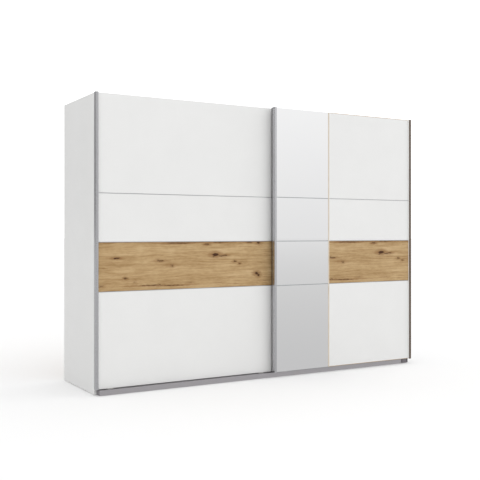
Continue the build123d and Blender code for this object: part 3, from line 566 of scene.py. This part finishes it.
# ---- Bottom rail ----------------------------------------------------------------------------
# A grey anodised extrusion on the plinth's front guides both doors: each has an open channel in
# its top. A thin plate closes its left end, and a long moulded end piece the right one.
rail_metal = drawn_metal("rail_aluminium", shade(192, 189, 192), shade(182, 179, 182), 0.4, "X")
low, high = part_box("bottom_rail")
CHANNEL_FLOOR = low.z + 0.008
THIN = 0.002
RAIL_ROUND = 0.0008
CHANNEL_ROUND = 0.0005
REAR_CHANNEL = (high.y - 0.0095, high.y - 0.0185)
FRONT_CHANNEL = (high.y - 0.0395, high.y - 0.0495)
form = bmesh.new()
outline = [(high.y, low.z), (low.y, low.z, RAIL_ROUND), (low.y, high.z, RAIL_ROUND)]
for rear, front in (FRONT_CHANNEL, REAR_CHANNEL):
    outline += [(front, high.z, CHANNEL_ROUND), (front, CHANNEL_FLOOR, CHANNEL_ROUND)]
    outline += [(rear, CHANNEL_FLOOR, CHANNEL_ROUND), (rear, high.z, CHANNEL_ROUND)]
outline += [(REAR_CHANNEL[0] + THIN, high.z), (REAR_CHANNEL[0] + THIN, low.z + THIN)]
outline += [(high.y - THIN, low.z + THIN), (high.y - THIN, high.z), (high.y, high.z)]
front, rear = FRONT_CHANNEL[0] + THIN, REAR_CHANNEL[1] - THIN
under, over = low.z + THIN, high.z - THIN
hollow = [(front, under), (rear, under), (rear, over), (front, over)]
profile(form, "X", low.x, high.x, outline, hollow)
set_piece(form, "guide_rail", "carcass", [rail_metal], ["bottom_rail"])


def block(form, low, high):
    """A block with sharp edges between two corners."""
    made = bmesh.ops.create_cube(form, size=1.0)["verts"]
    bmesh.ops.scale(form, vec=high - low, verts=made)
    bmesh.ops.translate(form, vec=(low + high) / 2, verts=made)
    return made


def slab(form, low, high, edge):
    """A flat board, sheet or plate between two corners, with its edges rounded off."""
    edges = list({e for v in block(form, low, high) for e in v.link_edges})
    bmesh.ops.bevel(form, geom=edges, offset=edge, affect="EDGES", segments=2, profile=0.5, material=-1)


cap_plastic = moulded_finish(
    "rail_end_plastic", shade(131, 127, 131), shade(122, 118, 122), 0.5, 700, 0.00008
)
PLATE_ROUND = 0.0005
form = bmesh.new()
slab(form, *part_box("bottom_rail_cap_left"), PLATE_ROUND)
set_piece(form, "rail_end_plate", "carcass", [cap_plastic], ["bottom_rail_cap_left"])

low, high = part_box("bottom_rail_cap_right")
RECESS_SPANS = ((low.x + 0.004, low.x + 0.016), (high.x - 0.018, high.x - 0.008))
RECESS_LOW = low.z + 0.004
RECESS_HIGH = high.z - 0.003
RECESS_DEPTH = 0.006
RECESS_SLOPE = 0.0005
END_ROUND = 0.0004
form = bmesh.new()
block(form, low, high)
cuts = [("X", line) for span in RECESS_SPANS for line in span] + [("Z", RECESS_LOW), ("Z", RECESS_HIGH)]
for axis, line in cuts:
    whole_form = form.verts[:] + form.edges[:] + form.faces[:]
    bmesh.ops.bisect_plane(form, geom=whole_form, plane_co=AXES[axis] * line, plane_no=AXES[axis])
for left, right in RECESS_SPANS:
    inside = []
    for face in form.faces:
        spot = face.calc_center_median()
        if face.normal.y < -0.9 and left < spot.x < right and RECESS_LOW < spot.z < RECESS_HIGH:
            inside.append(face)
    sizes = {"thickness": RECESS_SLOPE, "depth": -RECESS_DEPTH, "use_even_offset": True}
    bmesh.ops.inset_region(form, faces=inside, **sizes)
turns = [e for e in form.edges if len(e.link_faces) == 2 and e.calc_face_angle() > radians(50)]
bmesh.ops.bevel(form, geom=turns, offset=END_ROUND, affect="EDGES", segments=2, profile=0.5, material=-1)
set_piece(form, "rail_end_piece", "carcass", [cap_plastic], ["bottom_rail_cap_right"])

# ---- Floor glides ---------------------------------------------------------------------------
# White plastic pads under the upright boards and the plinths keep the sawn edges off the floor.
dress(white_plastic, "floor_glides", rounding=0.0006)

# ---- White door boards ----------------------------------------------------------------------
# Each door is four boards high. The white ones are melamine faced chipboard, 16 mm thick, with
# their edges sealed and held in the upright profiles.
door_white = moulded_finish("door_melamine", WHITE, WHITE_IN_THE_CLOUDS, 0.4, 900, 0.00002)
BOARD_ROUND = 0.0008
for door in ("left_door", "right_door"):
    for level in ("bottom", "upper", "top"):
        node = f"{door}_panel_{level}"
        form = bmesh.new()
        slab(form, *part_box(node), BOARD_ROUND)
        set_piece(form, f"{door}_{level}_board", door, [door_white], [node], sharp=15)

# ---- Oak door boards ------------------------------------------------------------------------
# The second board of each door has a printed oak decor: lively horizontal grain with dark knots
# and cracks. Both boards come from the same print, so the right one repeats the left one's knots.
sockets = {"Vector": (0, 0, 0), "Place": (0, 0, 0), "Length": 0.03, "Height": 0.01}
sockets.update({"Strength": 1.0, "Before": 0.0, "Around": 0.0})
knot, ins, outs = new_group("knot", sockets, {"Mask": "Float", "Halo": "Float"})
offset = vector_maths(knot, "SUBTRACT", ins["Vector"], ins["Place"])
parts = add_node(knot, "SeparateXYZ", {0: offset}).outputs
across = maths(knot, "DIVIDE", parts["X"], ins["Length"])
upward = maths(knot, "DIVIDE", parts["Z"], ins["Height"])
squares = [maths(knot, "MULTIPLY", length, length) for length in (across, upward)]
span = maths(knot, "ADD", *squares)
for reach, before, out in ((1.3, "Before", "Mask"), (6.5, "Around", "Halo")):
    core = fade(knot, span, 0.0, reach, ins["Strength"], 0.0, "SMOOTHSTEP")
    knot.links.new(maths(knot, "MAXIMUM", core, ins[before]), outs[out])

# Each knot: its place along and up the left board, half its length and height, and how dark it is.
KNOTS = (
    (-1.200, 0.902, 0.026, 0.006, 0.95),
    (-1.136, 0.766, 0.013, 0.007, 0.85),
    (-1.313, 0.719, 0.022, 0.006, 0.60),
    (-1.070, 0.738, 0.010, 0.012, 0.40),
    (-0.940, 0.714, 0.120, 0.0035, 0.80),
    (-0.776, 0.709, 0.110, 0.0035, 0.85),
    (-0.886, 0.718, 0.010, 0.006, 0.60),
    (-0.650, 0.724, 0.022, 0.006, 0.45),
    (-0.879, 0.880, 0.034, 0.006, 0.72),
    (-0.900, 0.884, 0.013, 0.008, 0.60),
    (-0.790, 0.850, 0.026, 0.010, 0.42),
    (-0.790, 0.844, 0.013, 0.008, 0.70),
    (-0.760, 1.001, 0.080, 0.006, 0.78),
    (-0.687, 1.000, 0.050, 0.005, 0.65),
    (-0.632, 1.006, 0.120, 0.004, 0.50),
    (-0.515, 0.992, 0.019, 0.007, 0.95),
    (-0.430, 1.005, 0.060, 0.004, 0.60),
    (-0.448, 0.917, 0.032, 0.014, 1.0),
    (-0.400, 0.907, 0.030, 0.007, 0.72),
    (-0.372, 0.911, 0.026, 0.006, 0.80),
    (-0.462, 0.902, 0.012, 0.006, 0.70),
    (-0.291, 0.866, 0.013, 0.006, 0.85),
    (-0.249, 0.850, 0.010, 0.007, 0.95),
    (-0.104, 0.776, 0.020, 0.012, 1.0),
    (-0.086, 0.762, 0.016, 0.012, 0.90),
    (-0.165, 1.004, 0.030, 0.006, 0.75),
    (-0.086, 1.000, 0.020, 0.010, 0.95),
    (-0.415, 0.719, 0.030, 0.003, 0.40),
    (-0.020, 0.720, 0.050, 0.004, 0.45),
)

sockets = {"Color": "Color", "Roughness": "Float", "Height": "Float"}
oak_print, ins, outs = new_group("oak_print", {"Vector": (0, 0, 0)}, sockets)


def print_noise(vector, stretch, detail, rough):
    """A noise in the print, with so many waves a metre along each axis."""
    scaled = vector_maths(oak_print, "MULTIPLY", vector, stretch)
    values = {"Vector": scaled, "Scale": 1.0, "Detail": detail, "Roughness": rough}
    return add_node(oak_print, "TexNoise", values).outputs[0]


def ramp(value, stops):
    """The print's colours along a value, through (place, colour) stops."""
    node = add_node(oak_print, "ValToRGB", {0: value})
    elements = node.color_ramp.elements
    while len(elements) < len(stops):
        elements.new(0.5)
    for element, (place, colour) in zip(elements, stops):
        element.position = place
        element.color = colour
    return node.outputs[0]


def drifted(stretch, along, up):
    """The print's place pushed about by two noises, by at most the given lengths either way."""
    pushes = {}
    for letter, reach, seed in (("X", along, 0.0), ("Z", up, 7.3)):
        moved = vector_maths(oak_print, "ADD", ins["Vector"], (seed, seed, seed))
        noise = print_noise(moved, stretch, 3.0, 0.6)
        pushes[letter] = maths(oak_print, "MULTIPLY", maths(oak_print, "SUBTRACT", noise, 0.5), reach * 2)
    push = add_node(oak_print, "CombineXYZ", pushes).outputs[0]
    return vector_maths(oak_print, "ADD", ins["Vector"], push)


flowing = drifted((2.0, 1.0, 6.0), 0.0, 0.026)
ragged = drifted((48, 1, 150), 0.026, 0.008)
mask = halo = 0.0
for x, z, length, tall, strength in KNOTS:
    values = {"Vector": ragged, "Place": (x, 0, z), "Length": length, "Height": tall, "Strength": strength}
    values.update({"Before": mask, "Around": halo})
    spot = add_node(oak_print, "Group", values, node_tree=knot)
    mask, halo = spot.outputs["Mask"], spot.outputs["Halo"]

# Broad bands of tone lie along the board: dark at its lower edge, in its middle and along its top.
board_low, board_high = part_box("left_door_panel_oak_band")
upward = add_node(oak_print, "SeparateXYZ", {0: flowing}).outputs["Z"]
BANDS = ((0.0, 0.40), (0.30, 0.56), (0.48, 0.56), (0.62, 0.44))
BANDS += ((0.74, 0.56), (0.84, 0.74), (0.92, 0.56), (1.0, 0.04))
level = fade(oak_print, upward, board_low.z, board_high.z, 0.0, 1.0)
bands = ramp(level, [(place, (tone, tone, tone, 1.0)) for place, tone in BANDS])
tone = maths(oak_print, "MULTIPLY", bands, 0.42)
for stretch, detail, rough, share in (
    ((4.5, 1.0, 115.0), 6.0, 0.68, 1.05),
    ((2.6, 1.0, 30.0), 3.0, 0.5, 0.50),
    ((26.0, 1.0, 75.0), 4.0, 0.65, 0.45),
    ((8.0, 1.0, 15.0), 2.0, 0.5, 0.30),
):
    noise = print_noise(flowing, stretch, detail, rough)
    tone = maths(oak_print, "ADD", tone, maths(oak_print, "MULTIPLY", noise, share))
wood = ramp(
    maths(oak_print, "SUBTRACT", tone, 0.87),
    [
        (0.0, shade(120, 88, 52)),
        (0.25, shade(160, 127, 84)),
        (0.50, shade(184, 153, 109)),
        (0.78, shade(204, 175, 133)),
    ],
)
pores = print_noise(flowing, (26.0, 1.0, 700.0), 2.0, 0.7)
dark_pores = maths(oak_print, "MULTIPLY", fade(oak_print, pores, 0.58, 0.76, 0.0, 1.0), 0.35)
wood = blend_colours(oak_print, dark_pores, wood, shade(112, 80, 48))
wood = blend_colours(oak_print, maths(oak_print, "MULTIPLY", halo, 0.6), wood, shade(130, 86, 44))
broken = print_noise(ragged, (60, 1, 190), 3.0, 0.65)
dark = maths(oak_print, "MULTIPLY", mask, maths(oak_print, "ADD", 0.5, broken))
heart = fade(oak_print, dark, 0.26, 0.86, 0.0, 0.94)
wood = blend_colours(oak_print, heart, wood, shade(66, 34, 10))
gloss = maths(oak_print, "ADD", 0.5, maths(oak_print, "MULTIPLY", pores, 0.12))
for socket, value in (("Color", wood), ("Roughness", gloss), ("Height", pores)):
    oak_print.links.new(value, outs[socket])


def oak_finish(name, moved, drawn):
    """The oak print, moved along the board and drawn out longer."""
    finish, tree, shader = new_finish(name, IOR=1.45, Specular_IOR_Level=0.3)
    where = add_node(tree, "TexCoord").outputs["Object"]
    shift = {"Vector": where, "Location": (moved, 0, 0), "Scale": (1 / drawn, 1, 1)}
    laid = add_node(tree, "Mapping", shift).outputs[0]
    oak = add_node(tree, "Group", {"Vector": laid}, node_tree=oak_print).outputs
    coat(tree, shader, oak["Color"], oak["Roughness"], oak["Height"], 0.00006)
    return finish


PRINT_REPEAT = 1.37
PRINT_DRAWN = 1.13  # the right board's print is this much longer than the left one's
for door, moved, drawn in (("left_door", 0.0, 1.0), ("right_door", -PRINT_REPEAT, PRINT_DRAWN)):
    node = f"{door}_panel_oak_band"
    form = bmesh.new()
    slab(form, *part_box(node), BOARD_ROUND)
    oak = oak_finish(f"{door}_oak_decor", moved, drawn)
    set_piece(form, f"{door}_oak_board", door, [oak], [node], sharp=15)

# ---- Mirror ---------------------------------------------------------------------------------
# Four tiles of silvered float glass, 4 mm thick with ground edges, are glued on a backing board
# at the left of the right door.
silver, tree, shader = new_finish("silvered_glass", Metallic=1.0)
tint = blend_colours(tree, unevenness(tree, 2.0, 0.0, 1.0), shade(240, 240, 240), shade(239, 239, 240))
coat(tree, shader, tint, unevenness(tree, 9.0, 0.004, 0.02))
ground, tree, shader = new_finish("ground_glass_edge", IOR=1.5)
green = blend_colours(tree, unevenness(tree, 120.0, 0.0, 1.0), shade(176, 198, 190), shade(142, 170, 160))
grinding = unevenness(tree, 900.0, 0.0, 1.0, (1, 1, 0.1))
coat(tree, shader, green, unevenness(tree, 300.0, 0.2, 0.4), grinding, 0.00003)
ARRIS = 0.0006
for level in ("bottom", "middle", "top"):
    node = "right_door_mirror_" + level
    form = bmesh.new()
    for low, high in solids(node):
        slab(form, low, high, ARRIS)
    form.normal_update()
    for face in form.faces:
        face.material_index = 0 if face.normal.y < -0.99 else 1
    glass = [silver, ground]
    set_piece(form, f"mirror_glass_{level}", "right_door", glass, [node], sharp=15)

# ---- Divider strips -------------------------------------------------------------------------
# Thin anodised aluminium strips cover the joints between the boards of a door. They stand a
# little proud and have rounded edges.
strip_metal = drawn_metal("strip_aluminium", shade(186, 186, 188), shade(172, 172, 175), 0.34, "X")
STRIP_ROUND = 0.0005
for door in ("left_door", "right_door"):
    node = door + "_divider_strips"
    form = bmesh.new()
    for low, high in solids(node):
        outline = [(low.y, low.z, STRIP_ROUND), (low.y, high.z, STRIP_ROUND)]
        outline += [(high.y, high.z), (high.y, low.z)]
        profile(form, "X", low.x, high.x, outline)
    set_piece(form, door + "_joint_strips", door, [strip_metal], [node])


# ---- Upright profiles -----------------------------------------------------------------------
# Extruded uprights take the boards' ends in a slot and have a hollow nose to pull the door by.
# Three are plain anodised. The one at the right door's outer edge is brown, with a white side.
# Its brown is partly the profile's own colour and partly painted shade: it is made darker to
# stand for the shade on that edge.
GRIP_WALL = 0.002
SLOT_LIP = 0.014
NOSE_ROUND = 0.0022
BROWN_ROUND = 0.0008
LIP_EDGE = 0.0004
HOLLOW_ROUND = 0.001
grip_metal = drawn_metal("grip_aluminium", shade(202, 202, 204), shade(192, 192, 195), 0.24, "Z")
# This brown's dark tone is partly painted shade, not only the profile's own colour.
brown_with_painted_shade = moulded_finish("brown_with_painted_shade", shade(80, 56, 30), shade(70, 48, 25), 0.6, 700, 0.00003)
brown_with_painted_shade.node_tree.nodes["Principled BSDF"].inputs["Specular IOR Level"].default_value = 0.2


def upright(form, edge, side, low, high, board_front, board_back, nose):
    """One upright. edge is the door's edge, and side is 1 where the door lies to its right, or -1."""
    wall = side * GRIP_WALL
    wide = side * (high.x - low.x)
    outline = [(edge, high.y, LIP_EDGE), (edge + side * SLOT_LIP, high.y, LIP_EDGE)]
    outline += [(edge + side * SLOT_LIP, board_back), (edge + wall, board_back), (edge + wall, board_front)]
    outline += [(edge + wide, board_front, LIP_EDGE), (edge + wide, low.y, nose), (edge, low.y, nose)]
    a, b = edge + wall, edge + wide - wall
    front, rear = low.y + GRIP_WALL, board_front - GRIP_WALL
    hollow = [(a, front, HOLLOW_ROUND), (b, front, HOLLOW_ROUND), (b, rear), (a, rear)]
    profile(form, "Z", low.z, high.z, outline, hollow)


for node, name, door, slot in (
    ("left_door_grip_profiles", "left_door_uprights", "left_door", "aluminium_profile"),
    ("right_door_grip_profile", "right_door_handle_upright", "right_door", "aluminium_profile"),
    ("right_door_end_profile", "right_door_brown_upright", "right_door", "bronze_profile"),
):
    brown = slot == "bronze_profile"
    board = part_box(door + "_panel_top")
    form = bmesh.new()
    for low, high in solids(node):
        side = 1 if low.x < board[0].x and not brown else -1
        edge = low.x if side == 1 else high.x
        nose = BROWN_ROUND if brown else NOSE_ROUND
        upright(form, edge, side, low, high, board[0].y, board[1].y, nose)
    bmesh.ops.recalc_face_normals(form, faces=form.faces)
    finishes = [brown_with_painted_shade, door_white] if brown else [grip_metal]
    if brown:
        for face in form.faces:
            outermost = face.calc_center_median().x < low.x + GRIP_WALL / 2
            face.material_index = 1 if outermost and face.normal.x < -0.9 else 0
    set_piece(form, name, door, finishes, [node])

# ---- Black fin, painted shade in the door gap -----------------------------------------------
# A soft black fin on the back of the right door's grip narrows the gap to the left door. Its black
# colour is painted shade: it stands for the shade deep in the gap between the doors.
gap_shade_black = moulded_finish("gap_shade_black", shade(40, 39, 40), shade(30, 29, 30), 0.7, 1200, 0.0001)
# The fin's black finish is painted shade for the gap.
dress(gap_shade_black, "right_door_dust_seal", rounding=0.0005)

# ---- Oak coloured trims ---------------------------------------------------------------------
# A pale oak strip covers the joint between the mirror and the boards, and two narrow ones finish
# the top and bottom of the boards. The strip's pale tone is partly the oak's own and partly painted
# light: a paler copy of the trims' oak that stands for the light on that upright.
def trim_finish(name, light_tone, dark_tone, stretch):
    """Printed foil with a fine grain along the trim."""
    finish, tree, shader = new_finish(name, IOR=1.45)
    fine = unevenness(tree, 400.0, 0.0, 1.0, stretch)
    colour = blend_colours(tree, fine, light_tone, dark_tone)
    coat(tree, shader, colour, unevenness(tree, 80.0, 0.4, 0.52), fine, 0.00003)
    return finish


# The joint strip's paler tone is partly painted light.
oak_with_painted_light = trim_finish("oak_trim_with_painted_light", shade(226, 217, 204), shade(206, 190, 166), (1, 1, 0.03))
low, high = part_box("right_door_cover_strip")
CAP_THICK = 0.0015
CAP_ROUND = 0.0006
WEB_THICK = 0.003
cap_back = low.y + CAP_THICK
web_left = (low.x + high.x - WEB_THICK) / 2
web_right = web_left + WEB_THICK
form = bmesh.new()
outline = [(low.x, low.y, CAP_ROUND), (high.x, low.y, CAP_ROUND), (high.x, cap_back)]
outline += [(web_right, cap_back), (web_right, high.y), (web_left, high.y), (web_left, cap_back)]
outline += [(low.x, cap_back)]
profile(form, "Z", low.z, high.z, outline)
set_piece(form, "mirror_joint_strip", "right_door", [oak_with_painted_light], ["right_door_cover_strip"])

tan_oak = trim_finish("tan_oak_trim", shade(196, 170, 134), shade(170, 142, 104), (0.03, 1, 1))
TRIM_ROUND = 0.0002
form = bmesh.new()
for low, high in solids("right_door_edge_trims"):
    slab(form, low, high, TRIM_ROUND)
set_piece(form, "board_edge_trims", "right_door", [tan_oak], ["right_door_edge_trims"])

# ---- Straps ---------------------------------------------------------------------------------
# Flat zinc plated steel straps on the back of a door tie its boards together.
rolled = metal_finish(
    "rolled_zinc", shade(204, 204, 200), shade(180, 181, 180), 0.36, (1, 1, 0.05), 260, 0.00003
)
STRAP_CORNER = 0.004
for door in ("left_door", "right_door"):
    node = door + "_back_straps"
    form = bmesh.new()
    for low, high in solids(node):
        outline = rectangle((low.x, low.z), (high.x, high.z), STRAP_CORNER, STRAP_CORNER)
        profile(form, "Y", low.y, high.y, outline)
    set_piece(form, door + "_ties", door, [rolled], [node])


# ---- Hangers --------------------------------------------------------------------------------
# Pressed steel hangers carry the doors on their wheels. The inner door's are flat plates. The
# outer door's are bent to reach over the inner door to the rear rib of the track.
wheel_low, wheel_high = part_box("left_door_wheel_left")
axle_level = (wheel_low.z + wheel_high.z) / 2
PIN_HOLE = 0.00402
PLATE_FOOT = 0.006  # the rounding of the flat hangers' lower and upper corners
PLATE_HEAD = 0.014
HOLE_STEPS = 24
turns = [2 * pi * step / HOLE_STEPS for step in range(HOLE_STEPS)]
form = bmesh.new()
for low, high in solids("left_door_hangers"):
    outline = rectangle((low.x, low.z), (high.x, high.z), PLATE_FOOT, PLATE_HEAD)
    x = (low.x + high.x) / 2
    hole = [(x + PIN_HOLE * cos(turn), axle_level + PIN_HOLE * sin(turn)) for turn in turns]
    profile(form, "Y", low.y, high.y, outline, hole)
set_piece(form, "left_door_flat_hangers", "left_door", [rolled], ["left_door_hangers"])

STEEL = 0.0025
KNEE_DROP = 0.012
LEG_REACH = 0.012  # how far the leg goes on under the axle
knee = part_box("centre_partition")[0].y - 0.040  # where the bridge begins to bend down
FRONT_BEND, KNEE_BEND, REAR_BEND = 0.003, 0.004, 0.001  # inside the sheet's bends
FRONT_OUTER, KNEE_OUTER, REAR_OUTER = 0.005, 0.005, 0.0034
leg_foot = axle_level - LEG_REACH
form = bmesh.new()
for low, high in solids("right_door_hangers"):
    bridge = high.z - STEEL
    outline = [(low.y, low.z), (low.y + STEEL, low.z), (low.y + STEEL, bridge - KNEE_DROP, FRONT_BEND)]
    outline += [(knee, bridge, KNEE_BEND), (high.y - STEEL, bridge, REAR_BEND), (high.y - STEEL, leg_foot)]
    outline += [(high.y, leg_foot), (high.y, high.z, REAR_OUTER), (knee - 0.0015, high.z, KNEE_OUTER)]
    outline += [(low.y, bridge - KNEE_DROP + 0.001, FRONT_OUTER)]
    profile(form, "X", low.x, high.x, outline)
set_piece(form, "right_door_bent_hangers", "right_door", [rolled], ["right_door_hangers"])

# ---- Axle pins ------------------------------------------------------------------------------
# Turned steel pins are riveted in the hangers: a shoulder, a journal for the wheel and a head.
pin_steel = metal_finish(
    "turned_steel", shade(200, 201, 203), shade(176, 177, 180), 0.24, (1, 1, 1), 400, 0.00001
)
JOURNAL = 0.004
SHOULDER_RADIUS = 0.0055
HEAD_RADIUS = 0.006
SHOULDER_PLAY = 0.0002  # between the wheel and the shoulder, and between the wheel and the head
HEAD_PLAY = 0.0003
RIVETED = 0.0025
PIN_CHAMFER = 0.0004
for door, wheel in (("left_door", "left_door_wheel_left"), ("right_door", "right_door_wheel_left")):
    node = door + "_wheel_axles"
    wheel_front, wheel_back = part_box(wheel)[0].y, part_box(wheel)[1].y
    form = bmesh.new()
    for low, high in solids(node):
        middle = Vector(((low.x + high.x) / 2, 0, axle_level))
        if door == "left_door":
            shoulder = (low.y + RIVETED, wheel_front - SHOULDER_PLAY, SHOULDER_RADIUS)
            collars = (shoulder, (wheel_back + HEAD_PLAY, high.y, HEAD_RADIUS))
        else:
            shoulder = (wheel_back + SHOULDER_PLAY, high.y - RIVETED, SHOULDER_RADIUS)
            collars = ((low.y, wheel_front - HEAD_PLAY, HEAD_RADIUS), shoulder)
        section = [(0, low.y)]
        if collars[0][0] > low.y:
            section += [(JOURNAL - PIN_CHAMFER, low.y), (JOURNAL, low.y + PIN_CHAMFER)]
            section += [(JOURNAL, collars[0][0])]
        for start, end, radius in collars:
            section += [(radius - PIN_CHAMFER, start), (radius, start + PIN_CHAMFER)]
            section += [(radius, end - PIN_CHAMFER), (radius - PIN_CHAMFER, end)]
            if end < wheel_front:
                section += [(JOURNAL, end), (JOURNAL, collars[1][0])]
        if collars[1][1] < high.y:
            section += [(JOURNAL, collars[1][1]), (JOURNAL, high.y - PIN_CHAMFER)]
            section += [(JOURNAL - PIN_CHAMFER, high.y)]
        section += [(0, high.y)]
        turned(form, "Y", middle, section, steps=32)
    set_piece(form, door + "_pins", door, [pin_steel], [node])

# ---- Wheels ---------------------------------------------------------------------------------
# Nylon wheels with a groove that fits over the track's rib. Six pockets lighten the web, and a
# hub runs on the pin.
nylon = moulded_finish("nylon", shade(228, 227, 220), shade(220, 218, 209), 0.34, 260, 0.00005)
GROOVE_RADIUS = 0.015
GROOVE_HALF = 0.002
GROOVE_ROUND = 0.0006
TREAD_ROUND = 0.001
BORE = 0.00406
HUB = 0.0072
RIM_INSIDE = 0.0128
POCKETS = 6
POCKET_HALF = radians(23)
POCKET_DEPTH = 0.0022
POCKET_SLOPE = 0.0006  # how much narrower each pocket's floor is, all round
WHEEL_STEPS = 48
for door in ("left_door", "right_door"):
    for side in ("left", "right"):
        node = f"{door}_wheel_{side}"
        low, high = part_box(node)
        centre = (low + high) / 2
        outer = (high.z - low.z) / 2
        half = (high.y - low.y) / 2
        mouth = GROOVE_HALF + GROOVE_ROUND
        section = [(BORE, -half), (HUB, -half), (RIM_INSIDE, -half), (outer - TREAD_ROUND, -half)]
        section += [(outer, TREAD_ROUND - half), (outer, -mouth), (outer - GROOVE_ROUND, -GROOVE_HALF)]
        section += [(GROOVE_RADIUS, -GROOVE_HALF)]
        section += [(radius, -place) for radius, place in reversed(section)]
        form = bmesh.new()
        turned(form, "Y", centre, section, steps=WHEEL_STEPS, closed=True)
        bmesh.ops.recalc_face_normals(form, faces=form.faces)
        for way in (-1, 1):
            web = []
            for face in form.faces:
                spoke = face.calc_center_median() - centre - AXES["Y"] * way * half
                if face.normal.y * way > 0.9 and HUB < spoke.length < RIM_INSIDE:
                    web.append((face, spoke.normalized()))
            for pocket in range(POCKETS):
                turn = 2 * pi * (pocket + 0.5) / POCKETS
                out = Vector((cos(turn), 0, sin(turn)))
                near = [face for face, spoke in web if spoke.dot(out) > cos(POCKET_HALF)]
                sizes = {"thickness": POCKET_SLOPE, "depth": -POCKET_DEPTH, "use_even_offset": True}
                bmesh.ops.inset_region(form, faces=near, **sizes)
        set_piece(form, f"{door}_{side}_roller", node, [nylon], [node])

# ---- Door guides ----------------------------------------------------------------------------
# Moulded nylon guides at the doors' feet, each with a fin that slides in its channel of the rail.
dress(nylon, "left_door_guides", "right_door_guides", rounding=0.0006)
